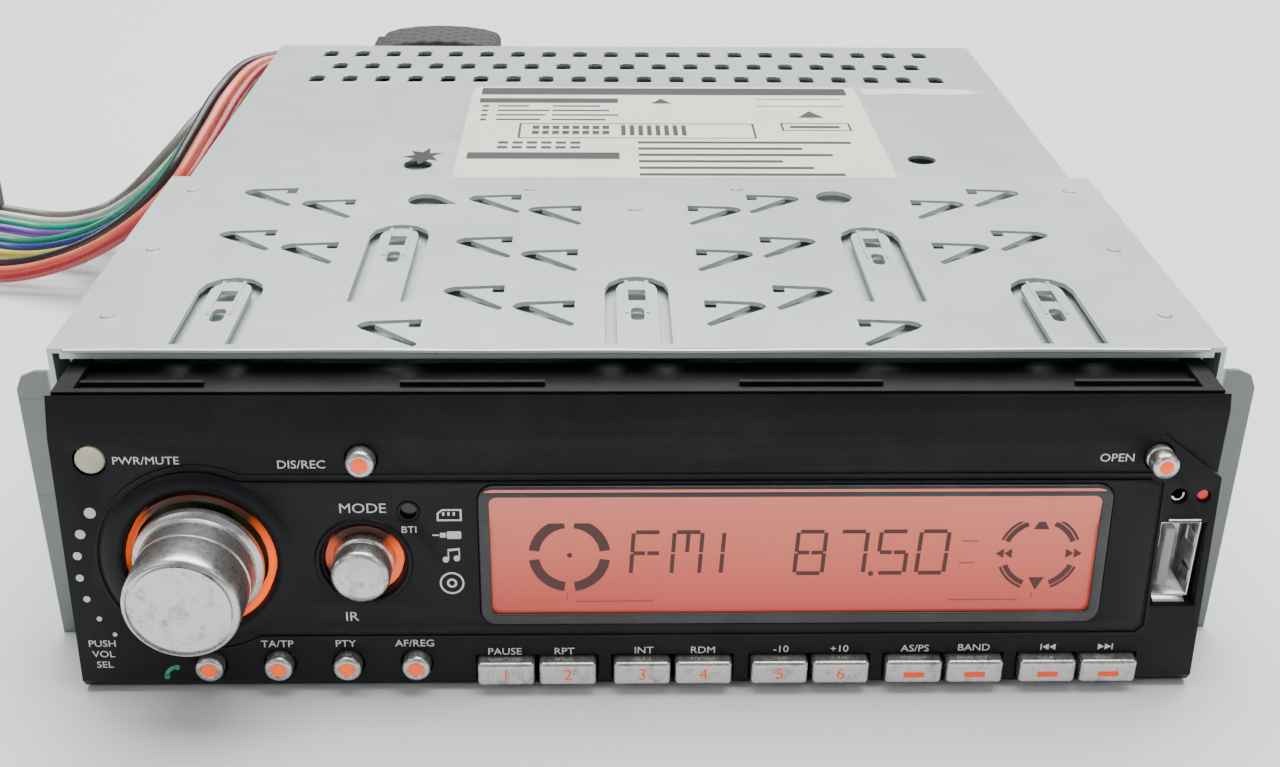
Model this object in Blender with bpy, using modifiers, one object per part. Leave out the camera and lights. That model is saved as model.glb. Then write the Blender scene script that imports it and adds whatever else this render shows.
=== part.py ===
"""Single-slot car radio with a flip-down front panel, its mounting sleeve and its wiring pigtail.

Axes: +X to the right seen from the front, +Y to the rear, +Z up. The origin is the centre of the
mounting sleeve's underside. Units are metres.
"""
import math

import bmesh
import bpy
from mathutils import Matrix, Vector

MM = 0.001

# ---- driving dimensions -------------------------------------------------------------------------
TOUCH = 0.3 * MM                # gap between pieces that bear on each other
RUNNING_GAP = 0.12 * MM         # around a shaft or pin in its bore
HOLE_CLEARANCE = 0.35 * MM      # around each button in its hole

# mounting sleeve
SLEEVE_WIDTH = 182 * MM
SLEEVE_HEIGHT = 53 * MM
SLEEVE_LENGTH = 78 * MM
SHEET = 0.8 * MM
EAR_WIDTH = 5.6 * MM            # bent-out side edge of the sleeve
EAR_TOP_DROP = 4 * MM
EAR_BOTTOM = 0.1 * MM
EAR_CORNER = 3 * MM
LIP_MARGIN = 2 * MM             # bent-down roof edge short of each side wall
LIP_CLEARANCE = 0.35 * MM
ROUND_HOLE = (38.5 * MM, 66.6 * MM, 3.5 * MM)      # x, from the front edge, radius
DROP_HOLE = (-40 * MM, 65 * MM, 3.2 * MM)
DROP_POINT = (6.6 * MM, -2.2 * MM)                 # the drop's point from its round end's centre
SIDE_WINDOW = (30 * MM, 44 * MM, 18 * MM, 34 * MM)  # start and end from the front edge, low, high
TAB_ARM = 10 * MM
TAB_CUT = 1.3 * MM
TONGUE_HALF = 5.3 * MM
TONGUE_CUT = 1.9 * MM

# chassis
CHASSIS_SIDE_GAP = 1.2 * MM     # chassis side to sleeve wall
CHASSIS_LIFT = 0.9 * MM         # chassis underside above the sleeve floor
CHASSIS_TOP_GAP = 1.1 * MM      # chassis top to sleeve roof
CHASSIS_REAR = 184 * MM         # chassis rear face behind the sleeve's front edge
FLANGE_DEPTH = 6 * MM
FOOT_RADIUS = 4 * MM
FOOT_INSET = 18 * MM            # foot centre from the chassis side
FOOT_AHEAD = 12 * MM            # foot centre from the chassis rear
VENT_WIDTH, VENT_LENGTH = 3.5 * MM, 5.6 * MM
VENT_PITCH = 7.9 * MM
VENT_ROW_PITCH = 11.2 * MM
VENT_REAR = 8 * MM              # rearmost row ahead of the chassis rear
VENT_COUNTS = (20, 19, 20)
COVER_HOLES = [(-44.1 * MM, 90.5 * MM), (60.8 * MM, 94.5 * MM)]   # x, from the sleeve's front edge
COVER_HOLE_RADIUS = 2.95 * MM

# on the rear panel
SOCKET_X, SOCKET_Z = -50 * MM, 38 * MM
SOCKET_WIDTH, SOCKET_HEIGHT, SOCKET_DEPTH, SOCKET_WALL = 32 * MM, 18 * MM, 8 * MM, 1.6 * MM
PLUG_GAP = 0.35 * MM            # plug to socket wall
HOOD_DEPTH = 17 * MM
HOOD_CROWN = 3 * MM             # rise of the hood's rounded top
HOOD_DROP = 0.8 * MM            # hood top below the chassis top
ANTENNA_X, ANTENNA_Z = -16 * MM, 36 * MM
ANTENNA_RADIUS, ANTENNA_WALL, ANTENNA_LENGTH, ANTENNA_FLOOR = 6 * MM, 2 * MM, 13 * MM, 2 * MM
STUD_X, STUD_Z = 74 * MM, 27 * MM
STUD_RADIUS, STUD_HEAD_RADIUS, STUD_HEAD, STUD_LENGTH = 2.4 * MM, 4.2 * MM, 3.6 * MM, 15 * MM
HEAT_SINK_X = 32 * MM
FINS, FIN_DEPTH, FIN_PITCH, FIN_THICKNESS, FIN_WEB = 13, 12 * MM, 4.8 * MM, 1.6 * MM, 3.5 * MM
SINK_BOTTOM, SINK_TOP = 8 * MM, 46 * MM

# inside the chassis
INSIDE_FRONT = 19 * MM          # board's front edge behind the sleeve's front edge
BOARD_SIDE_GAP = 11 * MM        # board edge to chassis side
BOARD_REAR_GAP = 19 * MM
BOARD_Z, MAIN_BOARD = 6 * MM, 1.6 * MM
BOARD_HOLE_X, BOARD_HOLE_END, BOARD_HOLE_RADIUS = 8 * MM, 9 * MM, 1.6 * MM   # from its edges
DECK_FRONT = 12 * MM
DECK_SIDE_GAP = 5 * MM
DECK_REAR_GAP = 26 * MM
DECK_Z, DECK_SHEET = 26 * MM, 1 * MM
DECK_LEG = 8 * MM
TURNTABLE_Y = 72 * MM           # from the sleeve's front edge, as the next two
SLED_Y = 102 * MM
ROLLER_Y = 18 * MM
TURNTABLE_RADIUS, TURNTABLE_TOP, SPINDLE_RADIUS, SPINDLE_BOTTOM = 14 * MM, 36 * MM, 3.5 * MM, 18 * MM
SLED_WIDTH, SLED_LENGTH, SLED_TRAVEL, SLED_BOTTOM = 30 * MM, 22 * MM, 33 * MM, 17 * MM
ROLLER_Z, ROLLER_RADIUS, ROLLER_AXLE, ROLLER_HALF = 32.6 * MM, 4 * MM, 1.4 * MM, 62 * MM
ROLLER_EAR = 1.2 * MM

# nose and hinge
NOSE_REACH = 9 * MM             # nose in front of the sleeve's front edge
NOSE_WALL = 2.2 * MM
NOSE_BACK_WALL = 5.2 * MM
NOSE_SIDE_DROP = 1 * MM         # nose side inside the chassis side
NOSE_TOP_DROP = 0.9 * MM
NOSE_LIFT = 0.4 * MM
NOSE_STEP, NOSE_STEP_END = 1.2 * MM, 3 * MM   # channel along the roof: depth, short of each end
PANEL_TO_NOSE = 0.8 * MM        # panel back to the nose's back wall
DISC_SLOT_WIDTH = 124 * MM
DISC_SLOT_HEIGHT = 4.6 * MM
DISC_SLOT_Z = 37.5 * MM
HINGE_Z = 3.4 * MM
HINGE_FORWARD = 1.6 * MM        # hinge axis in front of the nose
HINGE_PIN_RADIUS = 1 * MM
HINGE_PIN_LENGTH = 5.6 * MM
HINGE_BORE_GAP = 0.1 * MM
HINGE_LUG = 2.4 * MM
HINGE_LUG_RADIUS = 1.9 * MM

# front panel
PANEL_SIDE_DROP = 2.5 * MM      # panel side inside the sleeve's side
PANEL_BOTTOM = 0.6 * MM
PANEL_WALL = 1.8 * MM
PANEL_FLOOR = 1.4 * MM
PANEL_TOP_LIP = 2.7 * MM        # front of the ridge behind the face's top edge
PANEL_THICKNESS = 9 * MM        # at the face's top edge
PANEL_END = 5.5 * MM            # solid end beside the cavity
PANEL_EDGE = 1.2 * MM
RIDGE_DROP = 6 * MM             # ridge top above the face's top edge
RIDGE_EDGE = 0.8 * MM
FACE_LEAN = 4 * MM              # face bottom in front of the face top
FACET_WIDTH, FACET_DROP, FACET_DEPTH = 9.6 * MM, 7.2 * MM, 1.1 * MM   # cut-back corner of the face
BACK_PLATE = 1.6 * MM
BOARD_THICKNESS = 1.2 * MM
BOARD_TO_PLATE = 0.4 * MM
DISPLAY_WIDTH = 96.4 * MM
DISPLAY_HEIGHT = 22.8 * MM
DISPLAY_X, DISPLAY_Z = 23.4 * MM, 24.4 * MM
DISPLAY_CORNER = 2.2 * MM
LENS_THICKNESS = 1.4 * MM
MODULE_MARGIN = 2.2 * MM        # window edge to module edge
LIGHT_RING = 1.1 * MM           # lit width around a knob
RING_RECESS = 0.5 * MM
EYE_RADIUS, RESET_RADIUS, LAMP_RADIUS = 1.25 * MM, 1.4 * MM, 0.85 * MM
USB_WIDTH, USB_HEIGHT, USB_WALL = 6.8 * MM, 14.2 * MM, 0.5 * MM
USB_RECESS = 1.6 * MM
TONGUE_THICKNESS, TONGUE_WIDTH = 1.6 * MM, 10.6 * MM

# controls
BUTTON_TRAVEL = 0.6 * MM
OPEN_TRAVEL = 1.2 * MM
KNOB_TRAVEL = 0.9 * MM
STOP_GAP = 0.15 * MM            # pressed stem to the board
COLLAR = 0.65 * MM              # a button's collar beyond its cap
COLLAR_THICKNESS = 0.7 * MM
STEM_RADIUS = 1.2 * MM
ROUND_BUTTON_RADIUS, ROUND_BUTTON_REACH = 2.25 * MM, 2 * MM
WORN_BUTTON_REACH, WORN_BUTTON_DOME = 0.9 * MM, 0.5 * MM
OPEN_RADIUS, OPEN_REACH = 2.1 * MM, 3.6 * MM
MODE_RADIUS, MODE_REACH = 4.6 * MM, 5 * MM
KNOB_RADIUS, KNOB_SKIRT_RADIUS, KNOB_REACH = 9.1 * MM, 10 * MM, 13.4 * MM
KNOB_LIFT = 0.2 * MM            # skirt above the panel's face
KNOB_CAP = 2.5 * MM             # knob's front wall
SHAFT_RADIUS, SHAFT_HEAD_RADIUS, SHAFT_HEAD = 3 * MM, 5 * MM, 1.2 * MM
KEY_WIDTH, KEY_HEIGHT, KEY_REACH = 9 * MM, 4.2 * MM, 1.9 * MM
KEY_GAP = 0.75 * MM             # between the two keys of a pair
KEY_ROW_Z = 4.1 * MM
ROUND_ROW_Z = 5.2 * MM
TOP_ROW_Z = 40.4 * MM
KEY_PAIRS = [(-16.5 * MM, ("key_1", "key_2")), (5 * MM, ("key_3", "key_4")),
             (26.8 * MM, ("key_5", "key_6")), (48.2 * MM, ("key_search", "key_band")),
             (69.6 * MM, ("key_previous", "key_next"))]

# wiring
WIRE_DIAMETER = 2.4 * MM
WIRE_POINT_SPACING = 6.4 * MM
CONNECTOR_LENGTH, CONNECTOR_HEIGHT, CONNECTOR_MARGIN = 24 * MM, 12 * MM, 3 * MM

# ---- derived places -----------------------------------------------------------------------------
FRONT = -SLEEVE_LENGTH / 2
CHASSIS_WIDTH = SLEEVE_WIDTH - 2 * SHEET - 2 * CHASSIS_SIDE_GAP
CHASSIS_BOTTOM = SHEET + CHASSIS_LIFT
CHASSIS_TOP = SLEEVE_HEIGHT - SHEET - CHASSIS_TOP_GAP
REAR = FRONT + CHASSIS_REAR
NOSE_WIDTH = CHASSIS_WIDTH - 2 * NOSE_SIDE_DROP
NOSE_FRONT = FRONT - NOSE_REACH
NOSE_TOP = CHASSIS_TOP - NOSE_TOP_DROP
NOSE_BOTTOM = CHASSIS_BOTTOM + NOSE_LIFT
PANEL_HALF = SLEEVE_WIDTH / 2 - PANEL_SIDE_DROP
PANEL_FRONT_TOP = NOSE_FRONT - TOUCH - PANEL_TOP_LIP
PANEL_BACK = PANEL_FRONT_TOP + PANEL_THICKNESS
NOSE_WALL_FRONT = PANEL_BACK + PANEL_TO_NOSE
NOSE_BACK = NOSE_WALL_FRONT + NOSE_BACK_WALL
RIDGE_TOP = NOSE_TOP
FACE_TOP = RIDGE_TOP - RIDGE_DROP
PANEL_INNER_TOP = NOSE_TOP - NOSE_WALL - 2.3 * MM
HINGE_Y = NOSE_FRONT - HINGE_FORWARD
CAVITY_HALF = PANEL_HALF - PANEL_END
BACK_PLATE_FRONT = PANEL_BACK - BACK_PLATE
BOARD_BACK = BACK_PLATE_FRONT - BOARD_TO_PLATE
BOARD_FRONT = BOARD_BACK - BOARD_THICKNESS
KNOB_X, KNOB_Z = 20.7 * MM - PANEL_HALF, 23.6 * MM
MODE_X, MODE_Z = 45.7 * MM - PANEL_HALF, 23.4 * MM
LENS_X, LENS_Z = 52.9 * MM - PANEL_HALF, 32 * MM
USB_X, USB_Z = PANEL_HALF - 4.8 * MM, 22.1 * MM
RESET_X, RESET_Z = PANEL_HALF - 6.1 * MM, 33.9 * MM
LED_X, LED_Z = PANEL_HALF - 2.3 * MM, 33.9 * MM
OPEN_X, OPEN_Z = PANEL_HALF - 10.1 * MM, 40.6 * MM
ROUND_BUTTONS = {
    "phone_button": (KNOB_X - 0.1 * MM, ROUND_ROW_Z),
    "traffic_button": (KNOB_X + 10.7 * MM, ROUND_ROW_Z),
    "program_button": (KNOB_X + 21.5 * MM, ROUND_ROW_Z),
    "frequency_button": (KNOB_X + 32.3 * MM, ROUND_ROW_Z),
    "display_button": (MODE_X + 0.5 * MM, TOP_ROW_Z),
    "power_button": (5.8 * MM - PANEL_HALF, TOP_ROW_Z),
}

# V-shaped slots in the sleeve's roof, in millimetres: (from the middle, from the front edge)
TABS = [(74.9, 69.0), (62.9, 62.8), (31.6, 65.6), (20.0, 59.6), (74.9, 47.0), (62.9, 41.0),
        (32.2, 43.8), (20.4, 37.8), (32.4, 21.8), (20.6, 15.6), (44.8, 8.2)]
# spring tongues in the roof, in millimetres: (x, start and end behind the front edge)
TONGUES = [(-67.6, 1.5, 27.5), (-42.6, 17.5, 52.0), (-0.4, 1.5, 28.0), (42.2, 17.5, 51.0),
           (67.6, 1.5, 27.5)]

# The wires' route in millimetres. Each station holds the bundle's middle, the step outward from
# wire to wire and the step from the top layer down to the next.
STATIONS = [
    ((-66.3, 158.0, 41.4), (0.0, 3.0, 0.0), (0.0, 0.0, -3.2)),
    ((-76.0, 158.2, 41.6), (0.0, 3.0, 0.0), (0.0, 0.0, -3.2)),
    ((-87.5, 156.5, 42.0), (-1.3, 2.8, 0.0), (0.0, 0.0, -3.2)),
    ((-96.5, 147.5, 42.2), (-2.7, 1.4, 0.0), (0.0, 0.3, -3.2)),
    ((-101.8, 133.0, 39.4), (-3.0, 0.5, 0.0), (-0.8, 1.6, -2.9)),
    ((-106.5, 120.0, 33.6), (-3.0, 1.4, 0.0), (-2.0, 3.6, -2.7)),
    ((-114.0, 111.0, 25.0), (-2.4, 2.8, 0.3), (-3.4, 7.0, -2.4)),
    ((-125.5, 112.0, 16.0), (-1.4, 3.6, 0.3), (-3.0, 11.5, -1.8)),
    ((-139.0, 118.5, 7.8), (-1.0, 4.2, 0.2), (-1.5, 15.0, -1.4)),
    ((-154.5, 123.5, 3.2), (-0.6, 4.4, 0.1), (0.0, 16.5, -0.8)),
    ((-170.5, 125.5, 4.2), (0.0, 4.2, 0.0), (0.0, 16.0, 0.0)),
]
WIRE_LANES = {
    "wire_dark_red": (-1, -1), "wire_salmon": (0, -1), "wire_black": (1, -1),
    "wire_yellow": (-1, 0), "wire_navy": (0, 0), "wire_green": (1, 0),
    "wire_purple": (-1, 1), "wire_light_green": (0, 1), "wire_white": (1, 1), "wire_grey": (2, 1),
}
# the first and last wire that each connector holds
CONNECTORS = {"power_connector": ("wire_dark_red", "wire_black"),
              "speaker_connector": ("wire_yellow", "wire_grey")}


# ---- scene and helpers --------------------------------------------------------------------------
def start_scene():
    """Empty the scene and make one collection for the parts and one for the cutters."""
    for old in list(bpy.data.objects):
        bpy.data.objects.remove(old, do_unlink=True)
    made = []
    for name in ("car_radio", "cutters"):
        collection = bpy.data.collections.new(name)
        bpy.context.scene.collection.children.link(collection)
        made.append(collection)
    return made


PARTS, CUTTERS = start_scene()


def material(name, color, roughness, metallic=0.0):
    """A Principled BSDF material with one colour."""
    made = bpy.data.materials.new(name)
    made.use_nodes = True
    shader = made.node_tree.nodes["Principled BSDF"]
    shader.inputs["Base Color"].default_value = (*color, 1)
    shader.inputs["Roughness"].default_value = roughness
    shader.inputs["Metallic"].default_value = metallic
    return made


STEEL = material("galvanised_steel", (0.62, 0.66, 0.64), 0.42, 0.9)
BRIGHT = material("bright_steel", (0.72, 0.73, 0.74), 0.25, 1.0)
ALUMINIUM = material("aluminium", (0.7, 0.7, 0.71), 0.4, 1.0)
BLACK = material("black_plastic", (0.018, 0.019, 0.021), 0.5)
BOARD_GREEN = material("circuit_board", (0.03, 0.16, 0.07), 0.5)
SILVER = material("silver_plastic", (0.62, 0.61, 0.6), 0.3, 0.8)
RESIN = material("yellowed_resin", (0.55, 0.5, 0.33), 0.4)
SMOKED = material("smoked_window", (0.7, 0.25, 0.18), 0.12)
GLOW = material("orange_light_guide", (1.0, 0.28, 0.05), 0.35)
GREY = material("grey_plastic", (0.5, 0.5, 0.48), 0.5)
RUBBER = material("black_rubber", (0.02, 0.02, 0.02), 0.75)
WIRE_COLOURS = {
    "dark_red": (0.35, 0.015, 0.02), "salmon": (0.85, 0.2, 0.13), "black": (0.012, 0.012, 0.014),
    "yellow": (0.5, 0.4, 0.05), "navy": (0.01, 0.03, 0.2), "green": (0.0, 0.26, 0.14),
    "purple": (0.12, 0.04, 0.3), "light_green": (0.0, 0.3, 0.17), "white": (0.62, 0.6, 0.55),
    "grey": (0.16, 0.16, 0.14),
}


def link(obj, mat, smooth=False):
    """Put a finished object in the parts collection with its material."""
    PARTS.objects.link(obj)
    obj.data.materials.clear()
    obj.data.materials.append(mat)
    if smooth and obj.type == "MESH":
        obj.data.shade_smooth()
        obj.data.set_sharp_from_angle(angle=math.radians(35))
    return obj


def mesh_object(name, bm):
    """A mesh object from a bmesh, linked to nothing yet."""
    mesh = bpy.data.meshes.new(name)
    bm.to_mesh(mesh)
    bm.free()
    return bpy.data.objects.new(name, mesh)


def block(name, low, high, bevel=0.0, segments=1):
    """A box between two corners, with its long edges rounded where a bevel is given."""
    bm = bmesh.new()
    bmesh.ops.create_cube(bm, size=1.0)
    size = Vector(high) - Vector(low)
    centre = (Vector(high) + Vector(low)) / 2
    bmesh.ops.scale(bm, vec=size, verts=bm.verts)
    bmesh.ops.translate(bm, vec=centre, verts=bm.verts)
    if bevel:
        bmesh.ops.bevel(bm, geom=bm.edges[:], offset=bevel, segments=segments, affect="EDGES",
                        profile=0.5, clamp_overlap=True)
    return mesh_object(name, bm)


def rod(name, centre, radius, length, axis="Y", sides=20):
    """A cylinder whose middle is at centre, along a main axis."""
    bm = bmesh.new()
    bmesh.ops.create_cone(bm, cap_ends=True, segments=sides, radius1=radius, radius2=radius,
                          depth=length)
    turn = {"X": Matrix.Rotation(math.pi / 2, 4, "Y"), "Y": Matrix.Rotation(-math.pi / 2, 4, "X"),
            "Z": Matrix.Identity(4)}[axis]
    bm.transform(Matrix.Translation(centre) @ turn)
    return mesh_object(name, bm)


def to_mesh(obj):
    """Turn an evaluated object into a plain welded mesh object at the same place."""
    CUTTERS.objects.link(obj)
    bpy.context.view_layer.update()
    evaluated = obj.evaluated_get(bpy.context.evaluated_depsgraph_get())
    mesh = bpy.data.meshes.new_from_object(evaluated)
    place = obj.matrix_world.copy()
    name = obj.name
    bm = bmesh.new()
    bm.from_mesh(mesh)
    bmesh.ops.remove_doubles(bm, verts=bm.verts, dist=1e-6)
    bm.transform(place)
    bmesh.ops.recalc_face_normals(bm, faces=bm.faces)
    if bm.calc_volume(signed=True) < 0:
        bmesh.ops.reverse_faces(bm, faces=bm.faces)
    bm.to_mesh(mesh)
    bm.free()
    bpy.data.objects.remove(obj, do_unlink=True)
    made = bpy.data.objects.new(name, mesh)
    made.name = name
    return made


PLANES = {
    # where an outline's own x, y and thickness point in the object's axes
    "XY": Matrix(((1, 0, 0, 0), (0, 1, 0, 0), (0, 0, 1, 0), (0, 0, 0, 1))),
    "XZ": Matrix(((1, 0, 0, 0), (0, 0, -1, 0), (0, 1, 0, 0), (0, 0, 0, 1))),
    "YZ": Matrix(((0, 0, 1, 0), (1, 0, 0, 0), (0, 1, 0, 0), (0, 0, 0, 1))),
}


def outline(name, loops, low, high, plane="XY"):
    """A flat outline with holes, as thick as low to high along the plane's normal."""
    curve = bpy.data.curves.new(name, "CURVE")
    curve.dimensions = "2D"
    curve.fill_mode = "BOTH"
    curve.extrude = abs(high - low) / 2
    for points in loops:
        spline = curve.splines.new("POLY")
        spline.points.add(len(points) - 1)
        for point, (x, y) in zip(spline.points, points):
            point.co = (x, y, 0, 1)
        spline.use_cyclic_u = True
    obj = bpy.data.objects.new(name, curve)
    middle = (low + high) / 2
    normal = {"XY": (0, 0, middle), "XZ": (0, middle, 0), "YZ": (middle, 0, 0)}[plane]
    obj.matrix_world = Matrix.Translation(normal) @ PLANES[plane]
    return to_mesh(obj)


def rectangle(x, y, width, height):
    """The corners of a rectangle about a centre."""
    return [(x - width / 2, y - height / 2), (x + width / 2, y - height / 2),
            (x + width / 2, y + height / 2), (x - width / 2, y + height / 2)]


def rounded(x, y, width, height, radius, steps=3):
    """A rectangle with round corners."""
    points = []
    for corner, (sx, sy) in enumerate([(1, 1), (-1, 1), (-1, -1), (1, -1)]):
        cx, cy = x + sx * (width / 2 - radius), y + sy * (height / 2 - radius)
        for step in range(steps + 1):
            angle = math.pi / 2 * (corner + step / steps)
            points.append((cx + radius * math.cos(angle), cy + radius * math.sin(angle)))
    return points


def circle(x, y, radius, sides=20):
    """A round outline."""
    return [(x + radius * math.cos(2 * math.pi * i / sides),
             y + radius * math.sin(2 * math.pi * i / sides)) for i in range(sides)]


def boolean(target, tools, operation):
    """Cut tools out of a target, or join them to it, and return the plain result."""
    for index, tool in enumerate(tools):
        CUTTERS.objects.link(tool)
        tool.hide_render = True
        tool.display_type = "WIRE"
        change = target.modifiers.new(f"{operation.lower()}_{index}", "BOOLEAN")
        change.operation = operation
        change.solver = "EXACT"
        change.object = tool
    made = to_mesh(target)
    for tool in tools:
        bpy.data.objects.remove(tool, do_unlink=True)
    return made


def cut(target, *tools):
    """Take tools out of a target."""
    return boolean(target, tools, "DIFFERENCE")


def join(target, *tools):
    """Make tools and a target one body."""
    return boolean(target, tools, "UNION")


def turned(name, stations, place, sides=20, upright=False):
    """A solid turned about +Y, or +Z if upright, from (radius, distance along it) stations."""
    bm = bmesh.new()
    verts = [bm.verts.new((radius, 0, along)) for radius, along in stations]
    for first, second in zip(verts, verts[1:]):
        bm.edges.new((first, second))
    obj = mesh_object(name, bm)
    screw = obj.modifiers.new("turn", "SCREW")
    screw.angle = 2 * math.pi
    screw.steps = sides
    screw.render_steps = sides
    screw.use_merge_vertices = True
    screw.merge_threshold = 0.00001
    turn = Matrix.Identity(4) if upright else Matrix.Rotation(-math.pi / 2, 4, "X")
    obj.matrix_world = Matrix.Translation(place) @ turn
    return to_mesh(obj)


def set_origin(obj, place):
    """Put an object's own origin at a place without moving its shape."""
    obj.data.transform(Matrix.Translation(-Vector(place)))
    obj.location = place
    return obj


def face_y(z):
    """Y of the panel's leaning front face at a height."""
    return PANEL_FRONT_TOP - FACE_LEAN * (FACE_TOP - z) / (FACE_TOP - PANEL_BOTTOM)


def wall_back_y(z):
    """Y of the inside of the panel's front wall at a height."""
    return face_y(z) + PANEL_WALL


def ring_radii(knob_radius):
    """Inner and outer radius of the light ring around a knob."""
    return knob_radius + TOUCH, knob_radius + TOUCH + LIGHT_RING


# ---- mounting sleeve ----------------------------------------------------------------------------
def tab_slot(x, y, side):
    """One V-shaped slot with a foot at the end of its upper arm; side is -1 or 1."""
    arm, width, foot = TAB_ARM, TAB_CUT, 1.5 * TAB_CUT
    shape = [(-0.1 * width, 0), (0.3 * width, 0.9 * width), (1.2 * width, 1.4 * width),
             (arm, 1.9 * width), (arm, -0.4 * width), (arm - foot, -0.4 * width),
             (arm - foot, 0.9 * width), (2 * width, 0.4 * width), (arm, -6.4 * MM),
             (arm, -7 * MM), (arm - 0.5 * MM, -7.6 * MM), (0.4 * width, -0.8 * width)]
    points = [(x - side * along, y + across) for along, across in shape]
    return points if side < 0 else points[::-1]


def tongue_slots(x, start, end):
    """The U-shaped slot around a spring tongue and the two windows in it."""
    outer, width, steps = TONGUE_HALF, TONGUE_CUT, 6
    top = end - outer
    arch = [math.pi * i / steps for i in range(steps + 1)]
    points = [(x + outer, start)] + [(x + outer * math.cos(a), top + outer * math.sin(a)) for a in arch]
    points += [(x - outer, start), (x - outer + width, start)]
    inner = outer - width
    points += [(x + inner * math.cos(a), top + inner * math.sin(a)) for a in reversed(arch)]
    points += [(x + outer - width, start)]
    window = rectangle(x, top - 2.5 * MM, 3.2 * MM, 4.4 * MM)
    oval = rounded(x, top - 10 * MM, 2.2 * MM, 5 * MM, 1 * MM, 2)
    return [points, window, oval]


def make_sleeve():
    """The steel sleeve: a rectangular tube with bent-out ears, slots and spring tongues."""
    half, back = SLEEVE_WIDTH / 2, FRONT + SLEEVE_LENGTH
    walls = outline("mounting_sleeve",
                    [rectangle(0, SLEEVE_HEIGHT / 2, SLEEVE_WIDTH, SLEEVE_HEIGHT),
                     rectangle(0, SLEEVE_HEIGHT / 2, SLEEVE_WIDTH - 2 * SHEET,
                               SLEEVE_HEIGHT - 2 * SHEET)], FRONT, back, "XZ")
    ears = []
    for side in (-1, 1):
        inner, outer = side * (half - SHEET / 2), side * (half + EAR_WIDTH)
        corner, top = EAR_CORNER, SLEEVE_HEIGHT - EAR_TOP_DROP
        shape = [(inner, EAR_BOTTOM), (outer, EAR_BOTTOM), (outer, top - corner),
                 (outer - side * corner * 0.3, top - corner * 0.3), (outer - side * corner, top),
                 (inner, top)]
        ears.append(outline(f"ear_{side}", [shape], FRONT - 0.02 * MM, FRONT + SHEET, "XZ"))
    lip = block("lip", (-half + LIP_MARGIN, FRONT - SHEET / 2, CHASSIS_TOP + LIP_CLEARANCE),
                (half - LIP_MARGIN, FRONT + SHEET / 2, SLEEVE_HEIGHT - SHEET / 2))
    loops = [tab_slot(side * x * MM, FRONT + y * MM, side) for x, y in TABS for side in (-1, 1)]
    for x, start, end in TONGUES:
        loops += tongue_slots(x * MM, FRONT + start * MM, FRONT + end * MM)
    x, y, radius = ROUND_HOLE
    loops.append(circle(x, FRONT + y, radius, 20))
    x, y, radius = DROP_HOLE
    loops.append([(x + radius * math.cos(math.radians(a)), FRONT + y + radius * math.sin(math.radians(a)))
                  for a in range(40, 260, 20)] + [(x + DROP_POINT[0], FRONT + y + DROP_POINT[1])])
    slots = outline("sleeve_slots", loops, SLEEVE_HEIGHT - 2 * SHEET, SLEEVE_HEIGHT + SHEET)
    start, end, low, high = SIDE_WINDOW
    side_window = block("side_window", (-half - EAR_WIDTH, FRONT + start, low),
                        (half + EAR_WIDTH, FRONT + end, high))
    sleeve = join(walls, *ears, lip)
    link(cut(sleeve, slots, side_window), STEEL)


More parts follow.
